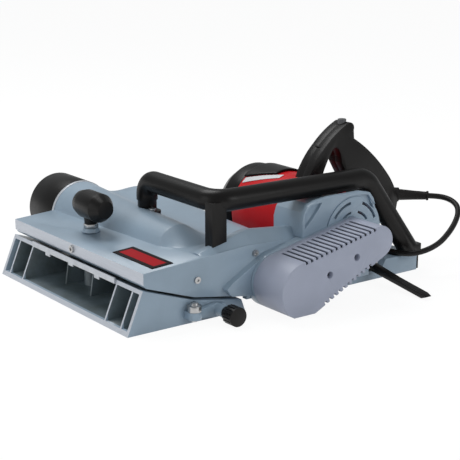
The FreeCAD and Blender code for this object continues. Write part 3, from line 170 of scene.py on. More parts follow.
class Shader:
    """Node tree of one finish, with its surface ready."""

    def __init__(self, name: str, colour: Colour, roughness: float, metallic: float = 0.0) -> None:
        """Starts a tree.

        Args:
            name: Name of the material.
            colour: Base colour where nothing varies it.
            roughness: Roughness where nothing varies it.
            metallic: 1 for bare metal.
        """
        self.material = bpy.data.materials.new(name)
        self.material.use_nodes = True
        self.tree = self.material.node_tree
        self.tree.nodes.clear()
        self.surface = self.node("ShaderNodeBsdfPrincipled", {}, {
            "Base Color": (*colour, 1.0), "Roughness": roughness, "Metallic": metallic,
        })
        output = self.node("ShaderNodeOutputMaterial", {}, {})
        self.tree.links.new(self.surface.outputs[0], output.inputs[0])

    def node(self, kind: str, settings: dict, inputs: dict) -> bpy.types.Node:
        """Adds a node.

        Args:
            kind: Blender's name for the node.
            settings: Its properties, set first.
            inputs: Values, or links, of its sockets by name or place.

        Returns:
            The node.
        """
        made = self.tree.nodes.new(kind)
        for name, value in settings.items():
            setattr(made, name, value)
        for key, value in inputs.items():
            if isinstance(value, Value):
                value = value.socket
            if isinstance(value, bpy.types.NodeSocket):
                self.tree.links.new(value, made.inputs[key])
            else:
                made.inputs[key].default_value = value
        return made

    def place(self, scale: tuple[float, float, float] = (1, 1, 1)) -> bpy.types.NodeSocket:
        """Object coordinates, stretched.

        Args:
            scale: Factor along each axis.

        Returns:
            The coordinates' socket.
        """
        source = self.node("ShaderNodeTexCoord", {}, {})
        mapping = self.node("ShaderNodeMapping", {}, {"Vector": source.outputs["Object"], "Scale": scale})
        return mapping.outputs[0]

    def axes(self) -> tuple[Value, Value, Value]:
        """The three object coordinates as numbers."""
        split = self.node("ShaderNodeSeparateXYZ", {}, {0: self.place()})
        return tuple(Value(self, split.outputs[n]) for n in range(3))

    def noise(self, scale: float, detail: float = 2.0, vector: Optional[bpy.types.NodeSocket] = None,
              rough: float = 0.5) -> Value:
        """Cloudy pattern from 0 to 1.

        Args:
            scale: Clouds to a metre.
            detail: Octaves of finer cloud.
            vector: Coordinates that it follows, the object's own if none are given.
            rough: Weight of the finer clouds.

        Returns:
            The pattern.
        """
        node = self.node("ShaderNodeTexNoise", {}, {
            "Vector": vector or self.place(), "Scale": scale, "Detail": detail, "Roughness": rough,
        })
        return Value(self, node.outputs[0])

    def facing(self, axis: Axis) -> Value:
        """How far the surface faces along an axis of the object.

        Args:
            axis: The axis.

        Returns:
            The share, from -1 to 1.
        """
        geometry = self.node("ShaderNodeNewGeometry", {}, {})
        turned = self.node("ShaderNodeVectorTransform",
                           {"vector_type": "NORMAL", "convert_from": "WORLD", "convert_to": "OBJECT"},
                           {0: geometry.outputs["Normal"]})
        split = self.node("ShaderNodeSeparateXYZ", {}, {0: turned.outputs[0]})
        return Value(self, split.outputs[axis.value])

    def blend(self, first: Union[Colour, bpy.types.NodeSocket], second: Union[Colour, bpy.types.NodeSocket],
              share: Number) -> bpy.types.NodeSocket:
        """Colour between two others.

        Args:
            first: Colour at 0.
            second: Colour at 1.
            share: How much of the second.

        Returns:
            The colour's socket.
        """
        ends = [end if isinstance(end, bpy.types.NodeSocket) else (*end, 1.0) for end in (first, second)]
        node = self.node("ShaderNodeMix", {"data_type": "RGBA"}, {0: share, 6: ends[0], 7: ends[1]})
        return node.outputs[2]

    def colour(self, socket: bpy.types.NodeSocket) -> None:
        """Sets what the base colour follows."""
        self.tree.links.new(socket, self.surface.inputs["Base Color"])

    def roughness(self, value: Value) -> None:
        """Sets what the roughness follows."""
        self.tree.links.new(value.socket, self.surface.inputs["Roughness"])

    def metallic(self, value: Value) -> None:
        """Sets what the metal share follows."""
        self.tree.links.new(value.socket, self.surface.inputs["Metallic"])

    def coat(self, value: Value) -> None:
        """Sets what the weight of the clear coat follows."""
        self.tree.links.new(value.socket, self.surface.inputs["Coat Weight"])

    def relief(self, height: Value, depth: float, strength: float) -> None:
        """Bumps the surface.

        Args:
            height: Pattern of the relief, 0 to 1.
            depth: Its depth in metres.
            strength: Share of it that shows.
        """
        bump = self.node("ShaderNodeBump", {}, {"Height": height, "Distance": depth, "Strength": strength})
        self.tree.links.new(bump.outputs[0], self.surface.inputs["Normal"])


def tinted(colour: Colour, factor: float) -> Colour:
    """The colour made lighter or darker."""
    return tuple(min(1.0, part * factor) for part in colour)


# ---------------------------------------------------------------- finishes

@dataclass(frozen=True)
class Finish:
    """A finish of the planer, and its slot, which names its material."""

    slot: str
    colour: Colour
    roughness: float

    def make(self) -> bpy.types.Material:
        """Builds the material."""
        raise NotImplementedError


@dataclass(frozen=True)
class CastPaint(Finish):
    """Satin enamel on a sand-smooth casting, with a bright machined front land and painted shade.

    The land is what faces forwards before `bare_before`. The painted shade, a dark grey mottled by noise,
    lies behind a given depth, above a given height and within a given half width of the middle, where
    the shoe's ribbed part is in shade, and a depth far behind leaves none.
    """

    bare_before: float = -0.3385
    metal: Colour = screen(214, 219, 228)
    # painted shade: a dark grey and the box it fills, standing for the shade on the shoe's ribbed part
    shade_colour: Colour = screen(74, 84, 84)
    shade_from: float = 9.0
    shade_above: float = 0.0055
    shade_half_width: float = 0.1565
    cloud_scale: float = 14.0
    peel_scale: float = 420.0
    grain_scale: float = 1500.0
    dust_scale: float = 60.0
    shade_mottle_scale: float = 26.0
    streak_scale: float = 60.0
    streak_squeeze: float = 26.0
    depth: float = 0.00012
    coat: float = 0.35
    coat_roughness: float = 0.22

    def make(self) -> bpy.types.Material:
        """Builds the material.

        Returns:
            The material.
        """
        shader = Shader(self.slot, self.colour, self.roughness)
        shader.surface.inputs["Coat Roughness"].default_value = self.coat_roughness
        cloud = shader.noise(self.cloud_scale, 4.0)
        peel = shader.noise(self.peel_scale, 2.0)
        grain = shader.noise(self.grain_scale, 2.0)
        enamel = shader.blend(tinted(self.colour, 0.93), tinted(self.colour, 1.07), cloud.spread(0.3, 0.7))
        dust = shader.noise(self.dust_scale, 5.0, rough=0.7).spread(0.60, 0.78) * 0.16
        enamel = shader.blend(enamel, tinted(self.colour, 1.35), dust)
        x, y, z = shader.axes()
        across = (x < self.shade_half_width) * (x > -self.shade_half_width)
        shaded_bay = (y > self.shade_from) * across * (z > self.shade_above)
        # painted shade: the dark grey, mottled by noise, goes on the shaded box behind the front face
        shade_mottle = shader.noise(self.shade_mottle_scale, 5.0, rough=0.65).spread(0.25, 0.75) * 0.25 + 0.70
        enamel = shader.blend(enamel, self.shade_colour, shaded_bay * shade_mottle)
        land = (y < self.bare_before) * (shader.facing(Axis.Y) < -0.6)
        streak = shader.noise(self.streak_scale, 3.0, shader.place((1.0, 1.0, self.streak_squeeze)))
        cut = shader.blend(tinted(self.metal, 0.82), tinted(self.metal, 1.08), streak)
        shader.colour(shader.blend(enamel, cut, land))
        shader.roughness(peel * 0.10 + (self.roughness - 0.05) + land * 0.04)
        shader.metallic(land * 0.2)
        shader.coat(self.coat - land * self.coat)
        shader.relief(peel * 0.7 + grain * 0.3, self.depth, 0.5)
        return shader.material


@dataclass(frozen=True)
class Moulded(Finish):
    """Moulded plastic with spark-eroded grain and polished spots where it is held."""

    grain: float = 900.0
    depth: float = 0.00010
    wear: float = 0.10
    shine: float = 0.5
    cloud_scale: float = 18.0
    gloss_scale: float = 240.0

    def make(self) -> bpy.types.Material:
        """Builds the material.

        Returns:
            The material.
        """
        shader = Shader(self.slot, self.colour, self.roughness)
        shader.surface.inputs["Specular IOR Level"].default_value = self.shine
        cloud = shader.noise(self.cloud_scale, 4.0)
        rubbed = cloud.spread(0.50, 0.72)
        shader.colour(shader.blend(tinted(self.colour, 0.88), tinted(self.colour, 1.16), cloud))
        gloss = shader.noise(self.gloss_scale, 2.0)
        shader.roughness(self.roughness - rubbed * self.wear + gloss * 0.06)
        shader.relief(shader.noise(self.grain, 3.0, rough=0.6), self.depth, 0.45)
        return shader.material


@dataclass(frozen=True)
class Metal(Finish):
    """Bare or plated metal with a turned or ground lay across one axis."""

    lay: Axis = Axis.X
    squeeze: float = 30.0
    streak_scale: float = 110.0
    spot_scale: float = 70.0
    depth: float = 0.00003
    metallic: float = 1.0

    def make(self) -> bpy.types.Material:
        """Builds the material.

        Returns:
            The material.
        """
        shader = Shader(self.slot, self.colour, self.roughness, self.metallic)
        scale = [1.0, 1.0, 1.0]
        scale[self.lay.value] = self.squeeze
        streak = shader.noise(self.streak_scale, 3.0, shader.place(tuple(scale)))
        spot = shader.noise(self.spot_scale, 4.0).spread(0.45, 0.75)
        shade = shader.blend(tinted(self.colour, 0.80), tinted(self.colour, 1.12), streak)
        shader.colour(shader.blend(shade, tinted(self.colour, 0.66), spot * 0.35))
        shader.roughness(streak * 0.14 + (self.roughness - 0.07) + spot * 0.10)
        shader.relief(streak, self.depth, 0.6)
        return shader.material


@dataclass(frozen=True)
class Stacked(Finish):
    """Thin steel plates pressed into a stack along X."""

    plate: float = 0.0007
    metallic: float = 0.9

    def make(self) -> bpy.types.Material:
        """Builds the material.

        Returns:
            The material.
        """
        shader = Shader(self.slot, self.colour, self.roughness, self.metallic)
        x, _, _ = shader.axes()
        line = (x * (2 * math.pi / self.plate)).wave().spread(-0.9, -0.4)
        shader.colour(shader.blend(tinted(self.colour, 0.4), self.colour, line))
        shader.roughness(self.roughness + 0.1 - line * 0.1)
        shader.relief(line, 0.0001, 0.8)
        return shader.material


@dataclass(frozen=True)
class RubberSkin(Finish):
    """Matt rubber with a bloom of dust."""

    grain: float = 1300.0
    depth: float = 0.00008
    shine: float = 0.3
    bloom_scale: float = 45.0

    def make(self) -> bpy.types.Material:
        """Builds the material.

        Returns:
            The material.
        """
        shader = Shader(self.slot, self.colour, self.roughness)
        shader.surface.inputs["Specular IOR Level"].default_value = self.shine
        bloom = shader.noise(self.bloom_scale, 5.0, rough=0.65)
        dust = bloom.spread(0.35, 0.8)
        shader.colour(shader.blend(tinted(self.colour, 0.8), tinted(self.colour, 1.5), dust))
        shader.roughness(self.roughness - 0.05 + bloom * 0.1)
        shader.relief(shader.noise(self.grain, 2.0), self.depth, 0.4)
        return shader.material


@dataclass(frozen=True)
class FramedPlate(Finish):
    """Printed plate: a plain field inside a dark frame, bare of any mark."""

    edge: Colour = screen(24, 14, 14)
    low: tuple[float, float] = (0.0, 0.0)
    high: tuple[float, float] = (1.0, 1.0)
    border: float = 0.006
    grain: float = 700.0
    depth: float = 0.00003
    shine: float = 0.15
    cloud_scale: float = 90.0

    def make(self) -> bpy.types.Material:
        """Builds the material.

        Returns:
            The material.
        """
        shader = Shader(self.slot, self.colour, self.roughness)
        shader.surface.inputs["Specular IOR Level"].default_value = self.shine
        x, y, _ = shader.axes()
        inside_x = (x > self.low[0] + self.border) * (x < self.high[0] - self.border)
        inside_y = (y > self.low[1] + self.border) * (y < self.high[1] - self.border)
        cloud = shader.noise(self.cloud_scale, 4.0)
        print_colour = shader.blend(tinted(self.colour, 0.85), tinted(self.colour, 1.1), cloud)
        shader.colour(shader.blend(self.edge, print_colour, inside_x * inside_y))
        shader.roughness(self.roughness - 0.04 + cloud * 0.08)
        shader.relief(shader.noise(self.grain, 2.0), self.depth, 0.4)
        return shader.material


PAINT = CastPaint("body_paint", screen(152, 172, 189), 0.42)
# the shoe's paint has painted shade on its ribbed part behind the front face
SHOE_PAINT_SHADED = CastPaint("body_paint", screen(152, 172, 189), 0.42, shade_from=-0.3575)
COVER = Moulded("cover_plastic", screen(166, 172, 190), 0.44, grain=1100.0, depth=0.00006, wear=0.06)
SILVER = Metal("cast_silver", screen(208, 212, 218), 0.40, lay=Axis.X, squeeze=9.0, metallic=0.4)
STEEL = Metal("bright_steel", screen(190, 190, 190), 0.28, lay=Axis.Z)
BLUED = Metal("dark_steel", screen(52, 52, 54), 0.36, lay=Axis.Y)
CORE = Stacked("core_steel", screen(120, 120, 124), 0.42)
ALLOY = Metal("cutter_alloy", screen(196, 198, 202), 0.34, lay=Axis.X, squeeze=40.0)
RED = Moulded("red_plastic", screen(212, 18, 28), 0.40, grain=800.0, depth=0.00005, wear=0.08,
               shine=0.25)
BLACK = Moulded("black_plastic", screen(15, 13, 12), 0.36, grain=700.0, depth=0.00007, wear=0.10,
                 shine=0.25)
GREY = Moulded("grey_plastic", screen(92, 92, 94), 0.42)
RUBBER = RubberSkin("black_rubber", screen(18, 16, 15), 0.55)
BELT = RubberSkin("belt_rubber", screen(34, 34, 34), 0.62)
SHEATH = RubberSkin("cord_rubber", screen(18, 16, 15), 0.48)
CARBON = RubberSkin("carbon", screen(50, 50, 52), 0.40)
BRASS = Metal("brass", screen(206, 176, 102), 0.30, lay=Axis.Z)
COPPER = Metal("copper", screen(198, 138, 98), 0.32, lay=Axis.X)
LABEL = Moulded("label_white", screen(226, 228, 230), 0.40, grain=500.0, depth=0.00002, wear=0.04)


class Finishes:
    """Materials made so far, one per finish."""

    made: dict[Finish, bpy.types.Material] = {}

    @classmethod
    def get(cls, finish: Finish) -> bpy.types.Material:
        """Looks up a finish's material, and makes it on first use.

        Args:
            finish: The finish.

        Returns:
            Its material.
        """
        if finish not in cls.made:
            cls.made[finish] = finish.make()
        return cls.made[finish]


# ---------------------------------------------------------------- modelling kit

def settled(name: str) -> bpy.types.Object:
    """Gives the active object its name and puts its place into its mesh.

    Args:
        name: Name of the piece.

    Returns:
        The piece.
    """
    piece = bpy.context.object
    piece.name = name
    bpy.ops.object.transform_apply(location=True, rotation=True, scale=True)
    return piece


def start() -> None:
    """Leaves edit mode with nothing selected."""
    if bpy.context.object and bpy.context.object.mode != "OBJECT":
        bpy.ops.object.mode_set(mode="OBJECT")
    bpy.ops.object.select_all(action="DESELECT")


def choose_faces(piece: bpy.types.Object, test: Callable[[Vector], bool]) -> None:
    """Selects the faces that pass a test, and enters edit mode.

    Args:
        piece: The active piece.
        test: Takes a face's normal.
    """
    bpy.ops.object.mode_set(mode="EDIT")
    bpy.ops.mesh.select_mode(type="FACE")
    bpy.ops.mesh.select_all(action="DESELECT")
    bpy.ops.object.mode_set(mode="OBJECT")
    for face in piece.data.polygons:
        face.select = test(face.normal)
    bpy.ops.object.mode_set(mode="EDIT")


@dataclass(frozen=True)
class Edge:
    """Rounding of a piece's edges: its width, and the angle in degrees past which an edge gets it."""

    width: float
    past: float = 30.0


def rounded(piece: bpy.types.Object, edge: Edge) -> None:
    """Bevels a piece's sharp edges and smooths the rest.

    Args:
        piece: The piece.
        edge: The rounding.
    """
    start()
    bpy.context.view_layer.objects.active = piece
    piece.select_set(True)
    bevel = piece.modifiers.new("Edge", "BEVEL")
    bevel.width = edge.width
    bevel.segments = BEVEL_SEGMENTS
    bevel.limit_method = "ANGLE"
    bevel.angle_limit = math.radians(edge.past)
    bevel.use_clamp_overlap = True
    bpy.ops.object.modifier_apply(modifier="Edge")
    bpy.ops.object.shade_smooth_by_angle(angle=math.radians(SMOOTH_BELOW_DEGREES))


def frame_of(direction: Vector) -> Matrix:
    """Rotation whose Z lies along a direction and whose X is level.

    Args:
        direction: The direction, which isn't upright.

    Returns:
        The rotation.
    """
    z = direction.normalized()
    x = Vector((0, 0, 1)).cross(z).normalized()
    y = z.cross(x)
    return Matrix((x, y, z)).transposed()


@dataclass
class Assembly:
    """A sub-assembly of the planer: its body, its CAD nodes and their finishes."""

    body: Body
    count: int = field(default=0, init=False)

    def wear(self, piece: bpy.types.Object, finish: Finish, *nodes: str) -> bpy.types.Object:
        """Gives a new piece its finish and its body.

        Args:
            piece: The piece.
            finish: Its finish.
            nodes: CAD nodes that it stands for.

        Returns:
            The piece.
        """
        piece.data.materials.clear()
        piece.data.materials.append(Finishes.get(finish))
        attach(piece, self.body.value)
        if nodes:
            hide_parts(*nodes)
        self.count += 1
        LOG.info("%s: %s in %s", self.body.value, piece.name, finish.slot)
        return piece

    def dress(self, finish: Finish, *nodes: str) -> None:
        """Gives carried-over CAD nodes a finish.

        Args:
            finish: The finish.
            nodes: Names of the nodes.
        """
        for name in nodes:
            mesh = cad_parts[name].data
            mesh.materials.clear()
            mesh.materials.append(Finishes.get(finish))
            self.count += 1
            LOG.info("%s: node %s in %s", self.body.value, name, finish.slot)

    def soften(self, node: str, finish: Finish, edge: Edge) -> bpy.types.Object:
        """Stands a copy with rounded edges in place of a CAD node, as a casting or moulding has.

        Args:
            node: Name of the node.
            finish: Its finish.
            edge: The rounding of its edges.

        Returns:
            The new piece.
        """
        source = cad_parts[node]
        start()
        piece = bpy.data.objects.new(node + "_skin", source.data.copy())
        bpy.context.scene.collection.objects.link(piece)
        bpy.context.view_layer.objects.active = piece
        piece.select_set(True)
        bpy.ops.object.mode_set(mode="EDIT")
        bpy.ops.mesh.select_all(action="SELECT")
        bpy.ops.mesh.remove_doubles(threshold=WELD_DISTANCE)
        bpy.ops.mesh.dissolve_limited(angle_limit=math.radians(FLAT_WITHIN_DEGREES))
        bpy.ops.object.mode_set(mode="OBJECT")
        rounded(piece, edge)
        return self.wear(piece, finish, node)

    def build(self) -> None:
        """Builds the sub-assembly's pieces and dresses its nodes."""
        raise NotImplementedError


# ---------------------------------------------------------------- camera and light

@dataclass(frozen=True)
class Lamp:
    """Soft square lamp: its name, where it hangs, its side and its power in watts."""

    name: str
    place: tuple[float, float, float]
    side: float
    power: float


@dataclass
class Studio:
    """Pale floor, soft lamps and the camera, with angles in degrees and the lens in millimetres."""

    eye: tuple[float, float, float] = (1.4069, -1.1284, 0.5225)
    azimuth: float = 53.5
    elevation: float = 14.94
    lens: float = 99.7
    sensor: float = 36.0
    nearest: float = 0.05
    backdrop: float = 1.0
    ambient: float = 0.38
    ambient_colour: Colour = (0.95, 0.98, 1.0)
    floor_side: float = 24.0
    floor_colour: Colour = (0.93, 0.93, 0.93)
    floor_roughness: float = 0.9
    floor_glow: float = 1.05
    floor_glow_share: float = 0.88
    aim: tuple[float, float, float] = (0.0, -0.1, 0.08)
    lamps: tuple[Lamp, ...] = (
        Lamp("key", (-0.9, -0.3, 2.0), 1.1, 22.0),
        Lamp("side", (2.2, 0.6, 0.9), 1.0, 9.0),
        Lamp("front", (-0.2, -2.3, 0.8), 1.2, 6.0),
    )

    def camera(self) -> None:
        """Sets the camera."""
        across = math.radians(self.azimuth)
        rise = math.radians(self.elevation)
        level = math.cos(rise)
        back = Vector((math.sin(across) * level, -math.cos(across) * level, math.sin(rise)))
        data = bpy.data.cameras.new("View")
        data.lens = self.lens
        data.sensor_width = self.sensor
        data.clip_start = self.nearest
        view = bpy.data.objects.new("View", data)
        view.location = self.eye
        view.rotation_euler = back.to_track_quat("Z", "Y").to_euler()
        bpy.context.scene.collection.objects.link(view)
        bpy.context.scene.camera = view

    def floor(self) -> None:
        """Lays the floor, which keeps the shadow and otherwise shows plain and pale."""
        start()
        bpy.ops.mesh.primitive_plane_add(size=self.floor_side)
        floor = settled("studio_floor")
        shader = Shader("studio_floor", self.floor_colour, self.floor_roughness)
        shader.surface.inputs["Specular IOR Level"].default_value = 0.0
        path = shader.node("ShaderNodeLightPath", {}, {})
        glow = shader.node("ShaderNodeEmission", {}, {"Color": (1, 1, 1, 1), "Strength": self.floor_glow})
        seen = Value(shader, path.outputs["Is Camera Ray"]) + Value(shader, path.outputs["Is Glossy Ray"])
        mix = shader.node("ShaderNodeMixShader", {}, {0: (seen > 0.5) * self.floor_glow_share})
        shader.tree.links.new(shader.surface.outputs[0], mix.inputs[1])
        shader.tree.links.new(glow.outputs[0], mix.inputs[2])
        output = next(n for n in shader.tree.nodes if n.type == "OUTPUT_MATERIAL")
        shader.tree.links.new(mix.outputs[0], output.inputs[0])
        floor.data.materials.append(shader.material)

    def sky(self) -> None:
        """White for what the camera sees, also through glass, and softer as a light."""
        world = bpy.data.worlds.new("Studio")
        world.use_nodes = True
        bpy.context.scene.world = world
        nodes = world.node_tree.nodes
        links = world.node_tree.links
        ground = nodes["Background"]
        ground.inputs["Color"].default_value = (*self.ambient_colour, 1.0)
        ground.inputs["Strength"].default_value = self.ambient
        shown = nodes.new("ShaderNodeBackground")
        shown.inputs["Color"].default_value = (1.0, 1.0, 1.0, 1.0)
        shown.inputs["Strength"].default_value = self.backdrop
        path = nodes.new("ShaderNodeLightPath")
        either = nodes.new("ShaderNodeMath")
        either.operation = "MAXIMUM"
        links.new(path.outputs["Is Camera Ray"], either.inputs[0])
        links.new(path.outputs["Is Transmission Ray"], either.inputs[1])
        mix = nodes.new("ShaderNodeMixShader")
        links.new(either.outputs[0], mix.inputs[0])
        links.new(ground.outputs[0], mix.inputs[1])
        links.new(shown.outputs[0], mix.inputs[2])
        links.new(mix.outputs[0], nodes["World Output"].inputs["Surface"])

    def hang(self, lamp: Lamp) -> None:
        """Hangs a lamp that points at the machine.

        Args:
            lamp: The lamp.
        """
        data = bpy.data.lights.new(lamp.name, "AREA")
        data.size = lamp.side
        data.energy = lamp.power
        hung = bpy.data.objects.new(lamp.name, data)
        hung.location = lamp.place
        back = Vector(lamp.place) - Vector(self.aim)
        hung.rotation_euler = back.to_track_quat("Z", "Y").to_euler()
        bpy.context.scene.collection.objects.link(hung)

    def build(self) -> None:
        """Builds the studio."""
        self.camera()
        self.floor()
        self.sky()
        for lamp in self.lamps:
            self.hang(lamp)
        bpy.context.scene.view_settings.view_transform = "Standard"


# ---------------------------------------------------------------- mains cord

@dataclass
class MainsCord(Assembly):
    """Rubber mains cord: the loose run from the boot, the coil put away behind, boot and plug.

    The run, the coil and the tail are in millimetres, the diameter, the length and the boot in
    metres. Each turn of the coil has its lane, how far out it lies, and its layer, how high.
    """

    body: Body = Body.MACHINE
    diameter: float = 0.008
    length: float = 4.0
    run: tuple[tuple[float, float, float], ...] = (
        (124.8, 180.2, 91.6), (134.1, 191.3, 91.2), (147.2, 197.4, 89.6), (161.3, 197.6, 86),
        (174.3, 191.6, 80.6), (186.8, 177.4, 72), (197.5, 153, 58), (202, 122, 42), (186, 92, 31),
        (148, 79, 30), (108, 82, 30), (66, 92, 30), (34, 112, 32), (12, 140, 22), (-20, 157, 6.5),
        (-62, 158, 4), (-110, 157, 4),
    )
    coil_middle: tuple[float, float] = (-110.0, 216.0)
    points_a_turn: int = 16
    lane_change: float = 0.125
    lanes: tuple[float, ...] = (58, 50, 42, 34, 34, 42, 50, 58, 58, 50, 42, 34)
    layers: tuple[float, ...] = (4, 4, 4, 4, 12, 12, 12, 12, 20, 20, 20, 20)
    tail_reach: float = 34.6
    tail_climb: float = 8
    tail_points: int = 7
    to_plug: tuple[tuple[float, float, float], ...] = (
        (13, 36, 29.5), (33, 37, 32), (52, 29, 35), (65, 13, 38), (68, -8, 40.5), (62, -27, 42),
        (50, -41, 42.5), (38, -46, 42.5), (26, -46, 42.5),
    )
    boot_root: float = 0.010
    boot_sleeve: float = 0.040
    boot_collar: float = 0.003
    boot_radii: tuple[float, ...] = (0.0103, 0.0082, 0.0068, 0.0058, 0.0070, 0.0068)
    boot_edge: Edge = Edge(0.0008, 40)
    plug_edge: Edge = Edge(0.0012, 24)

    def route(self) -> list[Vector]:
        """Points of the loose run, in millimetres."""
        return [Vector(point) for point in self.run]

    def turns(self) -> list[Vector]:
        """Lays the coil's turns, each in its lane, with one short step between lanes.

        Returns:
            Points of the turns, in millimetres.
        """
        points = []
        # the spline runs inside its points, so they are set out by this share
        inside = 0.75 + 0.25 * math.cos(2 * math.pi / self.points_a_turn)
        for turn in range(len(self.lanes) - 1):
            for step in range(1, self.points_a_turn + 1):
                share = step / self.points_a_turn
                move = max(0.0, (share - 1 + self.lane_change) / self.lane_change)
                reach = self.lanes[turn] + (self.lanes[turn + 1] - self.lanes[turn]) * move
                height = self.layers[turn] + (self.layers[turn + 1] - self.layers[turn]) * move
                angle = -math.pi / 2 - 2 * math.pi * share
                points.append(self.at(angle, reach / inside, height))
        return points

    def at(self, angle: float, reach: float, height: float) -> Vector:
        """Finds a point round the coil's middle.

        Args:
            angle: Its angle from +X, in radians.
            reach: Its distance from the middle, in millimetres.
            height: Its height, in millimetres.

        Returns:
            The point, in millimetres.
        """
        x, y = self.coil_middle
        return Vector((x + reach * math.cos(angle), y + reach * math.sin(angle), height))

    def tail(self) -> list[Vector]:
        """Leads the last turn up into the plug that lies on the coil.

        Returns:
            Points of the tail, in millimetres.
        """
        points = []
        for step in range(self.tail_points):
            angle = -math.pi / 2 - 2 * math.pi * (step + 1) / self.points_a_turn
            height = self.layers[-1] + self.tail_climb * step / (self.tail_points - 1)
            points.append(self.at(angle, self.tail_reach, height))
        x, y = self.coil_middle
        for dx, dy, z in self.to_plug:
            points.append(Vector((x + dx, y + dy, z)))
        return points

    def flex(self) -> bpy.types.Object:
        """Draws the cord itself, one smooth spline.

        Returns:
            The cord's curve.
        """
        curve = bpy.data.curves.new("mains_flex", "CURVE")
        curve.dimensions = "3D"
        curve.bevel_depth = self.diameter / 2
        curve.bevel_resolution = 5
        curve.resolution_u = 6
        curve.use_fill_caps = True
        points = self.route() + self.turns() + self.tail()
        spline = curve.splines.new("NURBS")
        spline.points.add(len(points) - 1)
        for place, point in zip(spline.points, points):
            place.co = (*(point * MM), 1.0)
        spline.order_u = 3
        spline.use_endpoint_u = True
        flex = bpy.data.objects.new("mains_flex", curve)
        bpy.context.scene.collection.objects.link(flex)
        return flex

    def boot(self) -> bpy.types.Object:
        """Draws out the tapered strain relief, with a small collar at the end that the cord leaves.

        Returns:
            The boot, which stands for the plain gland.
        """
        first, second = self.route()[:2]
        heading = (second - first).normalized()
        place = first * MM - heading * (self.boot_sleeve + self.boot_collar)
        radius = self.boot_radii[0]
        start()
        bpy.ops.mesh.primitive_cylinder_add(vertices=36, radius=radius, depth=self.boot_root,
                                            location=place - heading * self.boot_root / 2,
                                            rotation=frame_of(heading).to_euler())
        piece = settled("strain_relief")
        choose_faces(piece, lambda normal: normal.dot(heading) > 0.9)
        steps = (0.0, self.boot_sleeve * 0.5, self.boot_sleeve * 0.5, 0.0, self.boot_collar)
        for reach, after in zip(steps, self.boot_radii[1:]):
            place = place + heading * reach
            bpy.ops.mesh.extrude_region_move(TRANSFORM_OT_translate={"value": heading * reach})
            share = after / radius
            bpy.ops.transform.resize(value=(share, share, share), center_override=place)
            radius = after
        rounded(piece, self.boot_edge)
        return piece

    def build(self) -> None:
        """Builds the cord with its boot and plug."""
        boot = self.wear(self.boot(), RUBBER, "cable_gland")
        plug = self.soften("mains_plug", SHEATH, self.plug_edge)
        flex = self.wear(self.flex(), SHEATH, "power_cord", "cord_coil")
        self.route()[0] * MM


# ---------------------------------------------------------------- castings and mouldings

@dataclass
class UpperHousing(Assembly):
    """Deck casting with its badge, screws, collar and the bright front land."""

    body: Body = Body.MACHINE
    deck_edge: Edge = Edge(0.0011, 26)
    small_edge: Edge = Edge(0.0006)
    badge_colour: Colour = screen(176, 10, 24)

    def build(self) -> None:
        """Dresses the housing."""
        self.soften("main_housing", PAINT, self.deck_edge)
        low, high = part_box("badge_plate")
        badge = FramedPlate("badge_red", self.badge_colour, 0.52, low=(low.x, low.y),
                            high=(high.x, high.y))
        self.dress(badge, "badge_plate")
        self.dress(STEEL, "guide_posts", "side_screws", "front_bolt")
        self.soften("knob_bush", PAINT, self.small_edge)
        self.soften("chip_collar", SILVER, self.small_edge)


@dataclass
class FrontShoe(Assembly):
    """Ribbed front shoe with the fence clamp and the lapped guide strip."""

    body: Body = Body.SHOE
    rib_edge: Edge = Edge(0.0007)
    clamp_edge: Edge = Edge(0.0010, 26)
    bolt_edge: Edge = Edge(0.0006)

    def build(self) -> None:
        """Dresses the shoe."""
        self.soften("front_shoe", SHOE_PAINT_SHADED, self.rib_edge)
        self.soften("fence_bracket", PAINT, self.clamp_edge)
        self.dress(SILVER, "guide_strip")
        self.soften("bracket_bolt", STEEL, self.bolt_edge)


@dataclass
class DepthKnob(Assembly):
    """Barrel grip with its flats and rounded end, spindle and nut."""

    body: Body = Body.KNOB
    grip_edge: Edge = Edge(0.0022, 18)
    nut_edge: Edge = Edge(0.0005)

    def build(self) -> None:
        """Dresses the knob."""
        self.soften("knob_grip", BLACK, self.grip_edge)
        self.dress(STEEL, "knob_spindle")
        self.soften("knob_nut", STEEL, self.nut_edge)


@dataclass
class RearBase(Assembly):
    """Rear sole, its end strip and the parking rest's bracket."""

    body: Body = Body.MACHINE
    sole_edge: Edge = Edge(0.0010, 26)

    def build(self) -> None:
        """Dresses the base."""
        self.soften("rear_sole", PAINT, self.sole_edge)
        self.dress(BLACK, "rear_end_strip")
        self.dress(STEEL, "rest_bracket", "rest_pin")


@dataclass
class BeltDrive(Assembly):
    """Slotted belt cover, its base and the belt."""

    body: Body = Body.MACHINE
    cover_edge: Edge = Edge(0.0012, 40)
    base_edge: Edge = Edge(0.0010, 40)

    def build(self) -> None:
        """Dresses the drive."""
        self.soften("belt_cover", COVER, self.cover_edge)
        self.soften("belt_base", PAINT, self.base_edge)
        self.dress(BLUED, "cover_screws")
        self.dress(BELT, "drive_belt")
        self.dress(STEEL, "cutter_bearings")


@dataclass(frozen=True)
class CurvedPanel:
    """Sizes of a panel that lies on the motor case.

    Attributes:
        name: Name of the piece.
        span: Where it starts and ends along X, from the case's far end.
        front: Angle of its front edge at both ends, in degrees round the motor from the rear.
        rear: Angle of its rear edge at both ends.
        wall: Its thickness.
    """

    name: str
    span: tuple[float, float]
    front: tuple[float, float]
    rear: tuple[float, float]
    wall: float


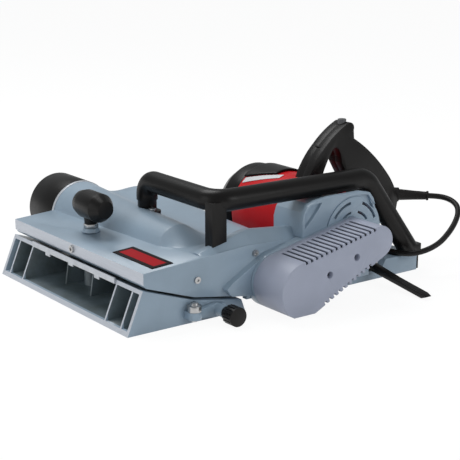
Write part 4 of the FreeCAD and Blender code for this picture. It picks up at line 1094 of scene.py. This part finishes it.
@dataclass
class Motor(Assembly):
    """Motor case, end cap and fan shield, with the hood over the case and a bare label strip."""

    body: Body = Body.MACHINE
    hood: CurvedPanel = CurvedPanel("motor_hood", (0.0005, 0.050), (128, 107), (52, 60), 0.0034)
    label: CurvedPanel = CurvedPanel("motor_label", (0.004, 0.062), (137, 113), (127.8, 103.5), 0.0005)
    panel_gap: float = 0.0004
    panel_grid: tuple[int, int] = (12, 28)
    case_edge: Edge = Edge(0.0008)
    cap_edge: Edge = Edge(0.0016, 20)
    shield_edge: Edge = Edge(0.0010)

    def panel(self, sizes: CurvedPanel) -> bpy.types.Object:
        """Bends a panel over the motor case.

        Args:
            sizes: Its sizes.

        Returns:
            The piece.
        """
        low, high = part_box("motor_case")
        middle = (low + high) / 2
        radius = (high.y - low.y) / 2 + self.panel_gap
        (near, far), (front_near, front_far), (rear_near, rear_far) = sizes.span, sizes.front, sizes.rear
        start()
        columns, rows = self.panel_grid
        bpy.ops.mesh.primitive_grid_add(x_subdivisions=columns, y_subdivisions=rows, size=1.0)
        piece = settled(sizes.name)
        for vertex in piece.data.vertices:
            along = vertex.co.x + 0.5
            round_it = vertex.co.y + 0.5
            first = front_near + (front_far - front_near) * along
            last = rear_near + (rear_far - rear_near) * along
            angle = math.radians(first + (last - first) * round_it)
            vertex.co = (low.x + near + (far - near) * along,
                         middle.y + radius * math.cos(angle), middle.z + radius * math.sin(angle))
        bpy.ops.object.mode_set(mode="EDIT")
        bpy.ops.mesh.select_all(action="SELECT")
        bpy.ops.mesh.normals_make_consistent(inside=False)
        bpy.ops.object.mode_set(mode="OBJECT")
        outward = piece.data.polygons[0].center - middle
        outward.x = 0.0
        if piece.data.polygons[0].normal.dot(outward) < 0:
            piece.data.flip_normals()
        shell = piece.modifiers.new("Wall", "SOLIDIFY")
        shell.thickness = sizes.wall
        shell.offset = 1.0
        bpy.ops.object.modifier_apply(modifier="Wall")
        rounded(piece, Edge(sizes.wall * 0.4, 50))
        return piece

    def build(self) -> None:
        """Dresses the motor."""
        self.soften("motor_case", RED, self.case_edge)
        self.soften("motor_end_cap", BLACK, self.cap_edge)
        self.soften("motor_shield", PAINT, self.shield_edge)
        self.wear(self.panel(self.hood), BLACK)
        self.wear(self.panel(self.label), LABEL)
        self.dress(CORE, "stator")
        self.dress(STEEL, "motor_bearings")
        self.dress(CARBON, "carbon_brushes")
        self.dress(BRASS, "brush_holders")


@dataclass
class Handles(Assembly):
    """Hoop handle round the machine and the rear switch handle."""

    body: Body = Body.MACHINE
    hoop_edge: Edge = Edge(0.0022, 24)
    grip_edge: Edge = Edge(0.0030)

    def build(self) -> None:
        """Dresses the handles."""
        self.soften("hoop_handle", BLACK, self.hoop_edge)
        self.dress(STEEL, "hoop_screws")
        self.soften("switch_handle_far", BLACK, self.grip_edge)
        self.soften("switch_handle_near", BLACK, self.grip_edge)
        self.dress(GREY, "switch_block")
        self.dress(BLUED, "handle_screws")


@dataclass
class Loose(Assembly):
    """A small body whose nodes only take a finish, or a finish and rounded edges."""

    plain: dict[str, Finish] = field(default_factory=dict)
    eased: dict[str, tuple[Finish, Edge]] = field(default_factory=dict)

    def build(self) -> None:
        """Dresses the body."""
        for node, finish in self.plain.items():
            self.dress(finish, node)
        for node, (finish, edge) in self.eased.items():
            self.soften(node, finish, edge)


def small_bodies() -> Iterable[Loose]:
    """Lists the cutter, armature, controls, nozzle, fence knob and rest.

    Yields:
        Each of them, ready to build.
    """
    yield Loose(Body.CUTTER, {"cutter_block": ALLOY, "planer_knives": STEEL, "knife_wedges": CORE,
                              "wedge_screws": BLUED, "cutter_pulley": ALLOY})
    yield Loose(Body.ARMATURE, {"motor_shaft": STEEL, "armature_core": CORE, "commutator": COPPER,
                                "cooling_fan": GREY, "motor_pulley": STEEL})
    yield Loose(Body.TRIGGER, {}, {"switch_trigger": (BLACK, Edge(0.0012))})
    yield Loose(Body.LOCK, {}, {"lock_button": (GREY, Edge(0.0008))})
    yield Loose(Body.NOZZLE, {}, {"chip_nozzle": (BLACK, Edge(0.0008))})
    yield Loose(Body.SIDE_KNOB, {"fence_knob_screw": STEEL}, {"fence_knob": (BLACK, Edge(0.0005))})
    yield Loose(Body.REST, {}, {"rest_lever": (BLACK, Edge(0.0010))})


def main() -> None:
    """Builds the studio, then the planer from cord to small bodies."""
    logging.basicConfig(level=logging.INFO, format="%(name)s %(message)s")
    Studio().build()
    groups: list[Assembly] = [
        MainsCord(), UpperHousing(), FrontShoe(), DepthKnob(), RearBase(), BeltDrive(), Motor(),
        Handles(), *small_bodies(),
    ]
    for group in groups:
        group.build()
        LOG.info("%s done, %d pieces", type(group).__name__, group.count)
    start()


if __name__ == "__main__":
    main()
